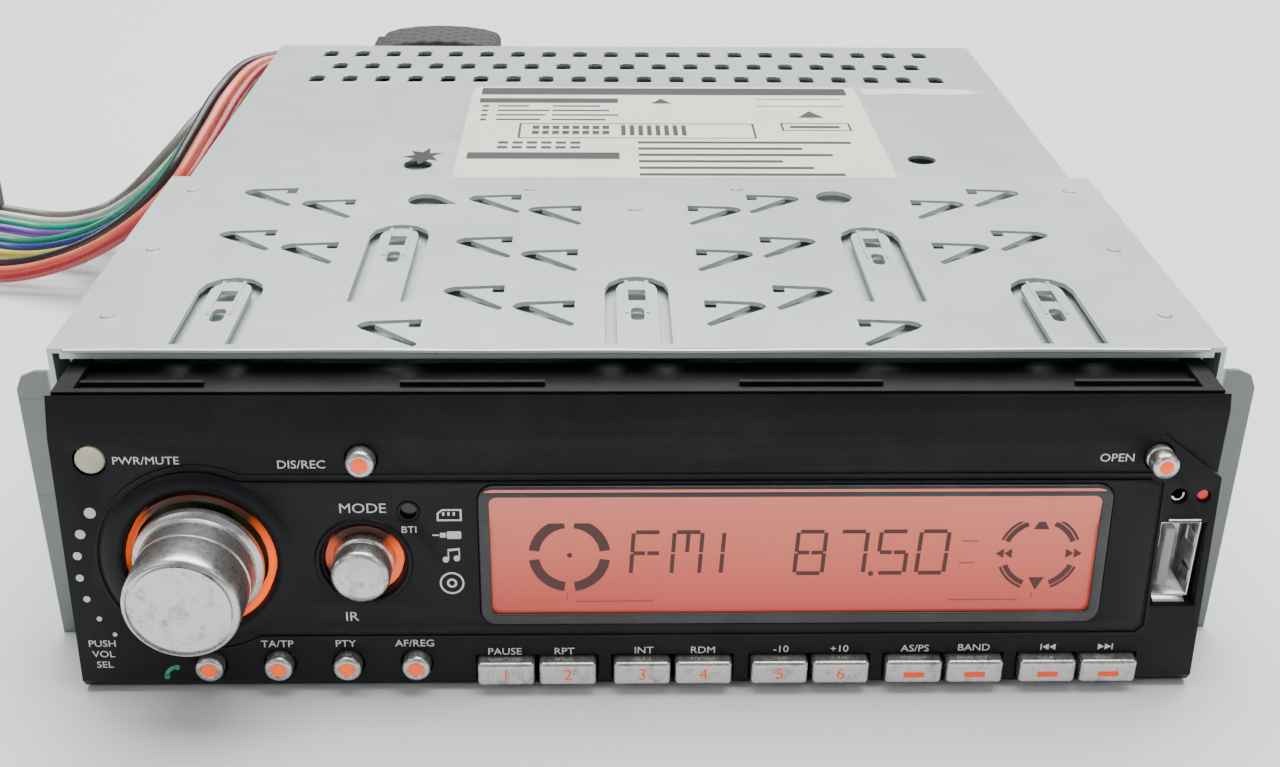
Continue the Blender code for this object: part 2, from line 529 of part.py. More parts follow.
# ---- chassis ------------------------------------------------------------------------------------
def make_chassis():
    """Folded steel tray, top cover, rear panel and what is fixed to them."""
    half, front = CHASSIS_WIDTH / 2, NOSE_BACK + TOUCH
    cover_bottom = CHASSIS_TOP - SHEET
    side_top = cover_bottom - TOUCH
    tray = [(-half, CHASSIS_BOTTOM), (half, CHASSIS_BOTTOM), (half, side_top),
            (half - SHEET, side_top), (half - SHEET, CHASSIS_BOTTOM + SHEET),
            (-half + SHEET, CHASSIS_BOTTOM + SHEET), (-half + SHEET, side_top), (-half, side_top)]
    base = outline("chassis_base", [tray], front, REAR, "XZ")
    feet = [rod(f"foot_{side}", (side * (half - FOOT_INSET), REAR - FOOT_AHEAD,
                                 (CHASSIS_BOTTOM + SHEET / 2) / 2), FOOT_RADIUS,
                CHASSIS_BOTTOM + SHEET / 2, "Z", 12) for side in (-1, 1)]
    link(join(base, *feet), STEEL)

    wing = half - SHEET - TOUCH
    loops = []
    for row, count in enumerate(VENT_COUNTS):
        start = -(count - 1) / 2 * VENT_PITCH
        for column in range(count):
            loops.append(rounded(start + column * VENT_PITCH, REAR - VENT_REAR - row * VENT_ROW_PITCH,
                                 VENT_WIDTH, VENT_LENGTH, VENT_WIDTH / 4, 1))
    loops += [circle(x, FRONT + y, COVER_HOLE_RADIUS, 16) for x, y in COVER_HOLES]
    lid = block("top_cover", (-half, front, cover_bottom), (half, REAR, CHASSIS_TOP))
    vents = outline("vents", loops, cover_bottom - SHEET, CHASSIS_TOP + SHEET)
    flanges = [block(f"flange_{side}", (min(side * wing, side * (wing - SHEET)), front + 1 * MM,
                                        cover_bottom - FLANGE_DEPTH),
                     (max(side * wing, side * (wing - SHEET)), REAR - 1 * MM,
                      cover_bottom + SHEET / 2)) for side in (-1, 1)]
    link(cut(join(lid, *flanges), vents), STEEL)

    floor = CHASSIS_BOTTOM + SHEET + TOUCH
    inner = wing - SHEET - TOUCH
    rear_top = cover_bottom - TOUCH
    rear = outline("rear_panel", [
        rectangle(0, (floor + rear_top) / 2, 2 * inner, rear_top - floor),
        rectangle(SOCKET_X, SOCKET_Z, SOCKET_WIDTH - 4 * MM, SOCKET_HEIGHT - 4 * MM),
        circle(ANTENNA_X, ANTENNA_Z, ANTENNA_RADIUS - ANTENNA_WALL / 2, 16)], REAR - SHEET, REAR, "XZ")
    link(rear, STEEL)

    left, near = HEAT_SINK_X - (FINS - 1) * FIN_PITCH / 2, REAR + TOUCH
    web, tip, thick = near + FIN_WEB, near + FIN_DEPTH, FIN_THICKNESS / 2
    comb = [(left - thick, near)]
    for index in reversed(range(FINS)):
        x = left + index * FIN_PITCH
        comb += [(x + thick, near if index == FINS - 1 else web), (x + thick, tip), (x - thick, tip)]
        comb += [(x - thick, web)] if index else []
    sink = outline("heat_sink", [comb], SINK_BOTTOM, SINK_TOP)
    link(sink, ALUMINIUM)

    socket = outline("rear_socket", [
        rectangle(SOCKET_X, SOCKET_Z, SOCKET_WIDTH, SOCKET_HEIGHT),
        rectangle(SOCKET_X, SOCKET_Z, SOCKET_WIDTH - 2 * SOCKET_WALL,
                  SOCKET_HEIGHT - 2 * SOCKET_WALL)],
        REAR + TOUCH, REAR + SOCKET_DEPTH, "XZ")
    link(socket, BLACK)

    bore, rim = ANTENNA_RADIUS - ANTENNA_WALL, REAR + ANTENNA_LENGTH
    antenna = turned("antenna_socket", [
        (0, REAR + ANTENNA_FLOOR), (bore, REAR + ANTENNA_FLOOR), (bore, rim), (ANTENNA_RADIUS, rim),
        (ANTENNA_RADIUS, REAR + TOUCH), (0, REAR + TOUCH)], (ANTENNA_X, 0, ANTENNA_Z))
    link(antenna, BRIGHT, True)

    tip, point = REAR + STUD_LENGTH, 0.25 * STUD_RADIUS
    stud = turned("rear_stud", [
        (0, tip), (STUD_RADIUS - point, tip), (STUD_RADIUS, tip - point),
        (STUD_RADIUS, REAR + STUD_HEAD), (STUD_HEAD_RADIUS, REAR + STUD_HEAD),
        (STUD_HEAD_RADIUS, REAR + TOUCH), (0, REAR + TOUCH)], (STUD_X, 0, STUD_Z), 16)
    link(stud, BRIGHT, True)


def make_plug():
    """The plug in the rear socket, with a hood that sends the wires out to the left."""
    width = SOCKET_WIDTH - 2 * SOCKET_WALL - 2 * PLUG_GAP
    height = SOCKET_HEIGHT - 2 * SOCKET_WALL - 2 * PLUG_GAP
    body = block("harness_plug", (SOCKET_X - width / 2, REAR + 1 * MM, SOCKET_Z - height / 2),
                 (SOCKET_X + width / 2, REAR + SOCKET_DEPTH + 1 * MM, SOCKET_Z + height / 2))
    near = REAR + SOCKET_DEPTH + TOUCH
    half, low, top = SOCKET_WIDTH / 2, SOCKET_Z - SOCKET_HEIGHT / 2, CHASSIS_TOP - HOOD_DROP
    steps = 8
    shape = [(SOCKET_X - half, low), (SOCKET_X + half, low)]
    for step in range(steps + 1):
        angle = math.pi * step / steps
        shape.append((SOCKET_X + half * math.cos(angle),
                      top - HOOD_CROWN * (1 - math.sin(angle))))
    hood = outline("hood", [shape], near, near + HOOD_DEPTH, "XZ")
    link(join(body, hood), RUBBER)


def make_inside():
    """Circuit board and disc drive inside the chassis."""
    half, floor = CHASSIS_WIDTH / 2, CHASSIS_BOTTOM + SHEET + TOUCH
    board_half = half - BOARD_SIDE_GAP
    near, far = FRONT + INSIDE_FRONT, REAR - BOARD_REAR_GAP
    loops = [rectangle(0, (near + far) / 2, 2 * board_half, far - near)]
    loops += [circle(side * (board_half - BOARD_HOLE_X), y, BOARD_HOLE_RADIUS, 8)
              for side in (-1, 1) for y in (near + BOARD_HOLE_END, far - BOARD_HOLE_END)]
    board = outline("main_board", loops, BOARD_Z, BOARD_Z + MAIN_BOARD)
    link(board, BOARD_GREEN)

    turntable_y, sled_y, roller_y = FRONT + TURNTABLE_Y, FRONT + SLED_Y, FRONT + ROLLER_Y
    edge, near, far = half - DECK_SIDE_GAP, FRONT + DECK_FRONT, REAR - DECK_REAR_GAP
    deck = outline("disc_deck", [
        [(-edge, near), (edge, near), (edge, far), (-edge, far)],
        circle(0, turntable_y, SPINDLE_RADIUS + 1.5 * MM, 20),
        rectangle(0, sled_y + SLED_TRAVEL / 2, SLED_WIDTH + 2 * MM, SLED_LENGTH + SLED_TRAVEL + 3 * MM),
    ], DECK_Z, DECK_Z + DECK_SHEET)
    legs = []
    for side in (-1, 1):
        low, high = sorted((side * edge, side * (edge - DECK_SHEET)))
        for y in (near + 2 * MM, far - DECK_LEG - 2 * MM):
            legs.append(block("leg", (low, y, floor), (high, y + DECK_LEG, DECK_Z + DECK_SHEET / 2)))
    ears, ear_half, ear_low = [], ROLLER_RADIUS, DECK_Z + DECK_SHEET / 2
    for side in (-1, 1):
        x = side * (ROLLER_HALF + TOUCH + ROLLER_EAR)
        ears.append(outline("roller_ear", [
            rectangle(roller_y, (ear_low + ROLLER_Z + ear_half) / 2, 2 * ear_half,
                      ROLLER_Z + ear_half - ear_low),
            circle(roller_y, ROLLER_Z, ROLLER_AXLE + RUNNING_GAP, 16)],
            x - ROLLER_EAR / 2, x + ROLLER_EAR / 2, "YZ"))
    link(join(deck, *legs, *ears), STEEL)

    top, under = TURNTABLE_TOP, TURNTABLE_TOP - 2.5 * MM
    profile = [(0, top + 2 * MM), (3 * MM, top + 2 * MM), (7.2 * MM, top), (TURNTABLE_RADIUS, top),
               (TURNTABLE_RADIUS, under), (SPINDLE_RADIUS, under), (SPINDLE_RADIUS, SPINDLE_BOTTOM),
               (0, SPINDLE_BOTTOM)]
    table = turned("turntable", profile, (0, turntable_y, 0), 24, upright=True)
    link(set_origin(table, (0, turntable_y, 0)), BLACK, True)

    place = (0, roller_y, ROLLER_Z)
    roller = join(rod("feed_roller", place, ROLLER_RADIUS, 2 * ROLLER_HALF, "X", 18),
                  rod("axle", place, ROLLER_AXLE, 2 * (ROLLER_HALF + 3 * MM), "X", 16))
    link(set_origin(roller, place), RUBBER, True)

    low = (-SLED_WIDTH / 2, sled_y - SLED_LENGTH / 2, SLED_BOTTOM)
    high = (SLED_WIDTH / 2, sled_y + SLED_LENGTH / 2, SLED_BOTTOM + 13 * MM)
    eye = rod("eye", (0, sled_y, high[2] + 1 * MM), 3.5 * MM, 4 * MM, "Z", 16)
    sled = join(block("laser_sled", low, high, 1 * MM), eye)
    link(set_origin(sled, (0, sled_y, SLED_BOTTOM)), GREY)


# ---- nose and hinge -----------------------------------------------------------------------------
def make_nose():
    """The plastic nose: a roof and cheeks around the panel's back, with the disc slot."""
    half = NOSE_WIDTH / 2
    solid = block("front_nose", (-half, NOSE_FRONT, NOSE_BOTTOM), (half, NOSE_BACK, NOSE_TOP))
    pocket = block("pocket", (-half + NOSE_WALL, NOSE_FRONT - 1 * MM, NOSE_BOTTOM - 1 * MM),
                   (half - NOSE_WALL, NOSE_WALL_FRONT, NOSE_TOP - NOSE_WALL))
    slot = block("disc_slot", (-DISC_SLOT_WIDTH / 2, NOSE_WALL_FRONT - 5 * MM,
                               DISC_SLOT_Z - DISC_SLOT_HEIGHT / 2),
                 (DISC_SLOT_WIDTH / 2, NOSE_BACK + 1 * MM, DISC_SLOT_Z + DISC_SLOT_HEIGHT / 2))
    usb_gap = block("usb_gap", (USB_X, NOSE_FRONT - 1 * MM, USB_Z - USB_HEIGHT / 2 - 1 * MM),
                    (half + 1 * MM, NOSE_WALL_FRONT, USB_Z + USB_HEIGHT / 2 + 1 * MM))
    channel = block("channel", (-half + NOSE_STEP_END, NOSE_FRONT + NOSE_STEP, NOSE_TOP - NOSE_STEP),
                    (half - NOSE_STEP_END, NOSE_BACK + 1 * MM, NOSE_TOP + 1 * MM))
    lugs, holes = [], []
    for index, side in enumerate((-1, 1)):
        inner = side * (half - HINGE_LUG)
        low, high = sorted((inner, side * half))
        lug = outline(f"lug_{index}", [hinge_lug_shape()], low, high, "YZ")
        lugs.append(lug)
        holes.append(rod(f"lug_hole_{index}", (side * (half - HINGE_LUG / 2), HINGE_Y, HINGE_Z),
                         HINGE_PIN_RADIUS + HINGE_BORE_GAP, HINGE_LUG * 2, "X", 16))
    nose = cut(join(cut(solid, pocket, slot, usb_gap, channel), *lugs), *holes)
    link(nose, BLACK)
    for name, side in (("hinge_pin_left", -1), ("hinge_pin_right", 1)):
        middle = side * (half - 0.2 * MM - HINGE_PIN_LENGTH / 2)
        link(rod(name, (middle, HINGE_Y, HINGE_Z), HINGE_PIN_RADIUS, HINGE_PIN_LENGTH, "X", 16),
             BRIGHT, True)


def hinge_lug_shape():
    """Side outline of the lug that carries a hinge pin, round about the axis."""
    reach, steps = HINGE_LUG_RADIUS, 8
    shape = [(NOSE_FRONT + 1 * MM, HINGE_Z + reach)]
    for step in range(steps + 1):
        angle = math.pi / 2 + math.pi * step / steps
        shape.append((HINGE_Y + reach * math.cos(angle), HINGE_Z + reach * math.sin(angle)))
    shape.append((NOSE_FRONT + 1 * MM, NOSE_BOTTOM + 0.1 * MM))
    shape.append((NOSE_FRONT + 1 * MM, HINGE_Z))
    return shape


# ---- front panel --------------------------------------------------------------------------------
def make_panel_shell():
    """The panel's front moulding with an opening for each control."""
    half = PANEL_HALF
    ridge_y = NOSE_FRONT - TOUCH
    profile = [(PANEL_BACK, PANEL_BOTTOM + PANEL_EDGE), (PANEL_BACK, PANEL_INNER_TOP),
               (ridge_y, PANEL_INNER_TOP), (ridge_y, RIDGE_TOP - RIDGE_EDGE),
               (ridge_y - RIDGE_EDGE, RIDGE_TOP), (PANEL_FRONT_TOP, FACE_TOP),
               (face_y(PANEL_BOTTOM + 1.6 * MM), PANEL_BOTTOM + 1.6 * MM),
               (face_y(PANEL_BOTTOM) + PANEL_EDGE, PANEL_BOTTOM),
               (PANEL_BACK - PANEL_EDGE, PANEL_BOTTOM)]
    shell = outline("panel_shell", [profile], -half, half, "YZ")
    inner_low = PANEL_BOTTOM + PANEL_FLOOR
    cavity = [(PANEL_BACK + 1 * MM, inner_low), (PANEL_BACK + 1 * MM, PANEL_INNER_TOP - PANEL_WALL),
              (wall_back_y(PANEL_INNER_TOP - PANEL_WALL), PANEL_INNER_TOP - PANEL_WALL),
              (wall_back_y(inner_low), inner_low)]
    tools = [outline("cavity", [cavity], -CAVITY_HALF, CAVITY_HALF, "YZ")]
    over = 2 * MM
    facet = [(half - FACET_WIDTH, FACE_TOP), (half + over, FACE_TOP - FACET_DROP * (1 + over / FACET_WIDTH)),
             (half + over, RIDGE_TOP + over), (half - FACET_WIDTH, RIDGE_TOP + over)]
    tools.append(outline("facet", [facet], PANEL_FRONT_TOP - FACE_LEAN, PANEL_FRONT_TOP + FACET_DEPTH, "XZ"))
    cheek = NOSE_WIDTH / 2 - NOSE_WALL - TOUCH
    for index, side in enumerate((-1, 1)):
        low, high = sorted((side * cheek, side * (half + 1 * MM)))
        tools.append(block(f"cheek_gap_{index}", (low, ridge_y - 0.15 * MM, PANEL_BOTTOM - 1 * MM),
                           (high, PANEL_BACK + 1 * MM, RIDGE_TOP + 1 * MM)))
        low, high = sorted((side * (cheek - 0.05 * MM), side * (half + 1 * MM)))
        tools.append(block(f"lug_gap_{index}", (low, HINGE_Y - 2.6 * MM, PANEL_BOTTOM - 2 * MM),
                           (high, PANEL_BACK + 2 * MM, HINGE_Z + 4.2 * MM)))
        tools.append(rod(f"pin_hole_{index}", (side * (CAVITY_HALF + 1 * MM), HINGE_Y, HINGE_Z),
                         HINGE_PIN_RADIUS + HINGE_BORE_GAP, 5 * MM, "X", 16))
    loops = [rounded(DISPLAY_X, DISPLAY_Z, DISPLAY_WIDTH + 2 * TOUCH, DISPLAY_HEIGHT + 2 * TOUCH,
                     DISPLAY_CORNER, 3),
             circle(KNOB_X, KNOB_Z, ring_radii(KNOB_SKIRT_RADIUS)[1] + TOUCH, 32),
             circle(MODE_X, MODE_Z, ring_radii(MODE_RADIUS)[1] + TOUCH, 24),
             circle(LENS_X, LENS_Z, EYE_RADIUS + TOUCH, 12), circle(RESET_X, RESET_Z, RESET_RADIUS, 12),
             circle(LED_X, LED_Z, LAMP_RADIUS + TOUCH, 10),
             circle(OPEN_X, OPEN_Z, OPEN_RADIUS + HOLE_CLEARANCE, 20),
             rectangle(USB_X, USB_Z, USB_WIDTH + 2 * TOUCH, USB_HEIGHT + 2 * TOUCH)]
    loops += [circle(x, z, ROUND_BUTTON_RADIUS + HOLE_CLEARANCE, 20)
              for x, z in ROUND_BUTTONS.values()]
    loops += [rectangle(x, KEY_ROW_Z, 2 * KEY_WIDTH + KEY_GAP + 2 * HOLE_CLEARANCE,
                        KEY_HEIGHT + 2 * HOLE_CLEARANCE) for x, _ in KEY_PAIRS]
    power_x, power_z = ROUND_BUTTONS["power_button"]
    pocket_front = wall_back_y(power_z) + 0.2 * MM
    tools.append(rod("power_pocket", (power_x, (pocket_front + BACK_PLATE_FRONT) / 2, power_z),
                     ROUND_BUTTON_RADIUS + 1.1 * MM, BACK_PLATE_FRONT - pocket_front, "Y", 20))
    tools.append(outline("front_openings", loops, face_y(PANEL_BOTTOM) - 2 * MM,
                         BACK_PLATE_FRONT - 0.1 * MM, "XZ"))
    link(cut(shell, *tools), BLACK)


def make_panel_inside():
    """Back plate, circuit board, display and light guides of the panel."""
    low = PANEL_BOTTOM + PANEL_WALL + TOUCH
    top = PANEL_INNER_TOP - PANEL_WALL - TOUCH
    inner = CAVITY_HALF - TOUCH
    middle, tall = (low + top) / 2, top - low
    plate = outline("panel_back", [
        rectangle(0, middle, 2 * inner, tall), rounded(-30 * MM, 12 * MM, 24 * MM, 5 * MM, 1 * MM, 1)],
        BACK_PLATE_FRONT, PANEL_BACK, "XZ")
    link(plate, BLACK)
    side, board_low, board_top = inner - 0.5 * MM, low + 0.5 * MM, top - 0.5 * MM
    notch_x = USB_X - USB_WIDTH / 2 - TOUCH
    notch_low, notch_top = USB_Z - USB_HEIGHT / 2 - TOUCH, USB_Z + USB_HEIGHT / 2 + TOUCH
    board = outline("panel_board", [[
        (-side, board_low), (side, board_low), (side, notch_low), (notch_x, notch_low),
        (notch_x, notch_top), (side, notch_top), (side, board_top), (-side, board_top)]],
        BOARD_FRONT, BOARD_BACK, "XZ")
    link(board, BOARD_GREEN)

    lens_front = face_y(DISPLAY_Z) + 0.2 * MM
    lens = outline("display_window", [rounded(DISPLAY_X, DISPLAY_Z, DISPLAY_WIDTH, DISPLAY_HEIGHT,
                                              DISPLAY_CORNER - TOUCH, 3)],
                   lens_front, lens_front + LENS_THICKNESS, "XZ")
    link(lens, SMOKED)
    wide, tall = DISPLAY_WIDTH / 2 - MODULE_MARGIN, DISPLAY_HEIGHT / 2 - MODULE_MARGIN / 2
    module = block("display_module", (DISPLAY_X - wide, lens_front + LENS_THICKNESS + 0.7 * MM,
                                      DISPLAY_Z - tall),
                   (DISPLAY_X + wide, BOARD_FRONT - TOUCH, DISPLAY_Z + tall))
    link(module, GREY)

    for name, x, z, radius in (("knob_light_ring", KNOB_X, KNOB_Z, KNOB_SKIRT_RADIUS),
                               ("mode_light_ring", MODE_X, MODE_Z, MODE_RADIUS)):
        inner_radius, outer_radius = ring_radii(radius)
        ring = outline(name, [circle(x, z, outer_radius, 32), circle(x, z, inner_radius, 32)],
                       face_y(z) + RING_RECESS, wall_back_y(z) + 0.2 * MM, "XZ")
        link(ring, GLOW)
    eye = rod("infrared_lens", (LENS_X, (face_y(LENS_Z) + BOARD_FRONT) / 2, LENS_Z), EYE_RADIUS,
              BOARD_FRONT - face_y(LENS_Z) - 2 * TOUCH, "Y", 14)
    link(eye, SMOKED, True)
    lamp_front, lamp_back = face_y(LED_Z) + 0.6 * MM, NOSE_FRONT - 2 * TOUCH
    lamp = rod("status_led", (LED_X, (lamp_front + lamp_back) / 2, LED_Z), LAMP_RADIUS,
               lamp_back - lamp_front, "Y", 12)
    link(lamp, GLOW, True)


def push_button(name, x, z, radius, reach, mat, travel=BUTTON_TRAVEL, dome=0.0, sides=16):
    """A round push button: cap, stem and a collar behind the panel's front wall."""
    front = face_y(z) - reach
    collar = wall_back_y(z) + 0.5 * MM
    back = BOARD_FRONT - travel - STOP_GAP
    edge, rest = 0.35 * MM, collar + COLLAR_THICKNESS
    stations = [(0, back), (STEM_RADIUS, back), (STEM_RADIUS, rest),
                (radius + COLLAR, rest), (radius + COLLAR, collar),
                (radius, collar), (radius, front + edge + dome), (radius - edge, front + dome)]
    stations.append((0, front))
    button = turned(name, stations, (x, 0, z), sides)
    return link(set_origin(button, (x, front, z)), mat, True)


def make_controls():
    """Knob, shaft, buttons and keys; each has its origin on its line of travel."""
    for name, (x, z) in ROUND_BUTTONS.items():
        worn = name == "power_button"
        push_button(name, x, z, ROUND_BUTTON_RADIUS,
                    WORN_BUTTON_REACH if worn else ROUND_BUTTON_REACH,
                    RESIN if worn else SILVER, dome=WORN_BUTTON_DOME if worn else 0.0)
    push_button("mode_button", MODE_X, MODE_Z, MODE_RADIUS, MODE_REACH, SILVER, sides=24)
    push_button("open_button", OPEN_X, OPEN_Z, OPEN_RADIUS, OPEN_REACH, SILVER, OPEN_TRAVEL)

    face = face_y(KNOB_Z)
    front, skirt = face - KNOB_REACH, face - KNOB_LIFT
    bore = SHAFT_RADIUS + RUNNING_GAP
    bore_end = front + KNOB_CAP
    knob = turned("volume_knob", [
        (0, bore_end), (bore, bore_end), (bore, skirt), (KNOB_SKIRT_RADIUS - 0.8 * MM, skirt),
        (KNOB_SKIRT_RADIUS, skirt - 0.8 * MM), (KNOB_SKIRT_RADIUS, skirt - 1.6 * MM),
        (KNOB_RADIUS, skirt - 3 * MM), (KNOB_RADIUS - 0.5 * MM, front + 3 * MM),
        (KNOB_RADIUS - 0.5 * MM, front + 0.5 * MM), (KNOB_RADIUS - 1 * MM, front), (0, front)],
        (KNOB_X, 0, KNOB_Z), 32)
    link(set_origin(knob, (KNOB_X, skirt, KNOB_Z)), SILVER, True)
    back = BOARD_FRONT - KNOB_TRAVEL - STOP_GAP
    shoulder = back - SHAFT_HEAD
    shaft = turned("volume_shaft", [
        (0, back), (SHAFT_HEAD_RADIUS, back), (SHAFT_HEAD_RADIUS, shoulder), (SHAFT_RADIUS, shoulder),
        (SHAFT_RADIUS, bore_end + TOUCH), (0, bore_end + TOUCH)], (KNOB_X, 0, KNOB_Z), 24)
    link(set_origin(shaft, (KNOB_X, back, KNOB_Z)), BRIGHT, True)

    front = face_y(KEY_ROW_Z) - KEY_REACH
    collar = wall_back_y(KEY_ROW_Z) + 0.6 * MM
    back = BOARD_FRONT - BUTTON_TRAVEL - STOP_GAP
    for centre, names in KEY_PAIRS:
        for name, side in zip(names, (-1, 1)):
            x = centre + side * (KEY_WIDTH + KEY_GAP) / 2
            cap = block(name, (x - KEY_WIDTH / 2, front, KEY_ROW_Z - KEY_HEIGHT / 2),
                        (x + KEY_WIDTH / 2, collar + 0.6 * MM, KEY_ROW_Z + KEY_HEIGHT / 2), 0.3 * MM)
            stem = block("stem", (x - 1.5 * MM, collar, KEY_ROW_Z - 0.6 * MM),
                         (x + 1.5 * MM, back, KEY_ROW_Z + 1.2 * MM))
            link(set_origin(join(cap, stem), (x, front, KEY_ROW_Z)), SILVER)


def make_usb():
    """USB socket with its tongue."""
    front, back = face_y(USB_Z) + USB_RECESS, BACK_PLATE_FRONT - TOUCH
    shell = outline("usb_socket", [
        rectangle(USB_X, USB_Z, USB_WIDTH, USB_HEIGHT),
        rectangle(USB_X, USB_Z, USB_WIDTH - 2 * USB_WALL, USB_HEIGHT - 2 * USB_WALL)],
        front, back, "XZ")
    floor = block("socket_floor", (USB_X - USB_WIDTH / 2, back - 0.8 * MM, USB_Z - USB_HEIGHT / 2),
                  (USB_X + USB_WIDTH / 2, back, USB_Z + USB_HEIGHT / 2))
    link(join(shell, floor), BRIGHT)
    high = USB_X - 0.3 * MM
    tongue = block("usb_tongue", (high - TONGUE_THICKNESS, front + 0.6 * MM, USB_Z - TONGUE_WIDTH / 2),
                   (high, back - 0.8 * MM - TOUCH, USB_Z + TONGUE_WIDTH / 2))
    link(tongue, GREY)


# ---- wiring -------------------------------------------------------------------------------------
def wire_points(name):
    """The route of one wire: its own lane read off the bundle's stations."""
    across, down = WIRE_LANES[name]
    return [(Vector(middle) + across * Vector(out) + down * Vector(drop)) * MM
            for middle, out, drop in STATIONS]


def smooth_route(points, spacing):
    """Points at even spacing along a smooth curve through the route's own points."""
    ends = [2 * points[0] - points[1]] + points + [2 * points[-1] - points[-2]]
    fine = []
    for a, b, c, d in zip(ends, ends[1:], ends[2:], ends[3:]):
        for step in range(24):
            t = step / 24
            fine.append(0.5 * (2 * b + (c - a) * t + (2 * a - 5 * b + 4 * c - d) * t ** 2
                               + (3 * b - a - 3 * c + d) * t ** 3))
    fine.append(points[-1])
    total = sum((q - p).length for p, q in zip(fine, fine[1:]))
    count = max(2, round(total / spacing))
    made, walked, goal = [fine[0]], 0.0, total / count
    for p, q in zip(fine, fine[1:]):
        step = (q - p).length
        while walked + step >= goal and len(made) < count:
            made.append(p.lerp(q, (goal - walked) / step))
            goal += total / count
        walked += step
    made.append(fine[-1])
    return made


def make_wires():
    """The pigtail's wires and the two connectors that they end in."""
    for name in WIRE_LANES:
        curve = bpy.data.curves.new(name, "CURVE")
        curve.dimensions = "3D"
        curve.bevel_depth = WIRE_DIAMETER / 2
        curve.bevel_resolution = 2
        curve.use_fill_caps = True
        route = smooth_route(wire_points(name), WIRE_POINT_SPACING)
        spline = curve.splines.new("POLY")
        spline.points.add(len(route) - 1)
        for point, place in zip(spline.points, route):
            point.co = (*place, 1)
        tube = to_mesh(bpy.data.objects.new(name, curve))
        link(tube, material(name, WIRE_COLOURS[name.removeprefix("wire_")], 0.4), True)
    for name, (first, last) in CONNECTORS.items():
        near, far = wire_points(first)[-1], wire_points(last)[-1]
        x = near.x - TOUCH
        low = (x - CONNECTOR_LENGTH, near.y - CONNECTOR_MARGIN, TOUCH)
        high = (x, far.y + CONNECTOR_MARGIN, CONNECTOR_HEIGHT)
        link(block(name, low, high, 0.6 * MM), RUBBER)


make_sleeve()
make_chassis()
make_plug()
make_inside()
make_nose()
make_panel_shell()
make_panel_inside()
make_controls()
make_usb()
make_wires()
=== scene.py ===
"""Looks of a single-slot car radio: steel box and sleeve, black folding panel, wiring pigtail.

Everything is in metres in the model's own frame: +X right, +Y to the rear, +Z up, z = 0 under the
sleeve. Each sub-assembly is a class that makes its pieces and gives its CAD nodes their finish.
"""

import logging
import math
from dataclasses import dataclass, field
from enum import Enum
from typing import Iterable, Sequence

import bmesh
import bpy
from mathutils import Matrix, Vector


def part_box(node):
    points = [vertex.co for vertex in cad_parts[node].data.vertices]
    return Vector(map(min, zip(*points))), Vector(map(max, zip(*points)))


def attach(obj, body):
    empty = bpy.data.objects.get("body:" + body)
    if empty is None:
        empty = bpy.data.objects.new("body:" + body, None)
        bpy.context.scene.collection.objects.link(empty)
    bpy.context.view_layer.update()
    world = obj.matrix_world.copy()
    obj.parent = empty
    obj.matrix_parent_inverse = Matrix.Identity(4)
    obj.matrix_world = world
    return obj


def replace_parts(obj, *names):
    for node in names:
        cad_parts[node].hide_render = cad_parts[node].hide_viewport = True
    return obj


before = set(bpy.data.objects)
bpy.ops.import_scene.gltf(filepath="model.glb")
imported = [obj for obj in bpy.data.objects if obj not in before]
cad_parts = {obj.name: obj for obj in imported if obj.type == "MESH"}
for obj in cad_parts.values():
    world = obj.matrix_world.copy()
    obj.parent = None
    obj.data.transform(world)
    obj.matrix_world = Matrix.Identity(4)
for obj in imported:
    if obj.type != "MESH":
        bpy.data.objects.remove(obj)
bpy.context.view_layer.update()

LOG = logging.getLogger("car_radio")
Piece = bpy.types.Object
MM = 0.001
KNOB_CENTRE = (-67.8 * MM, 23.6 * MM)
MODE_CENTRE = (-42.8 * MM, 23.4 * MM)
Colour = tuple[float, float, float]
Loop = list[tuple[float, float]]


# ---- finishes -----------------------------------------------------------------------------------
class Space(Enum):
    """Where a pattern takes its coordinates from."""

    OBJECT = "Object"
    UV = "UV"


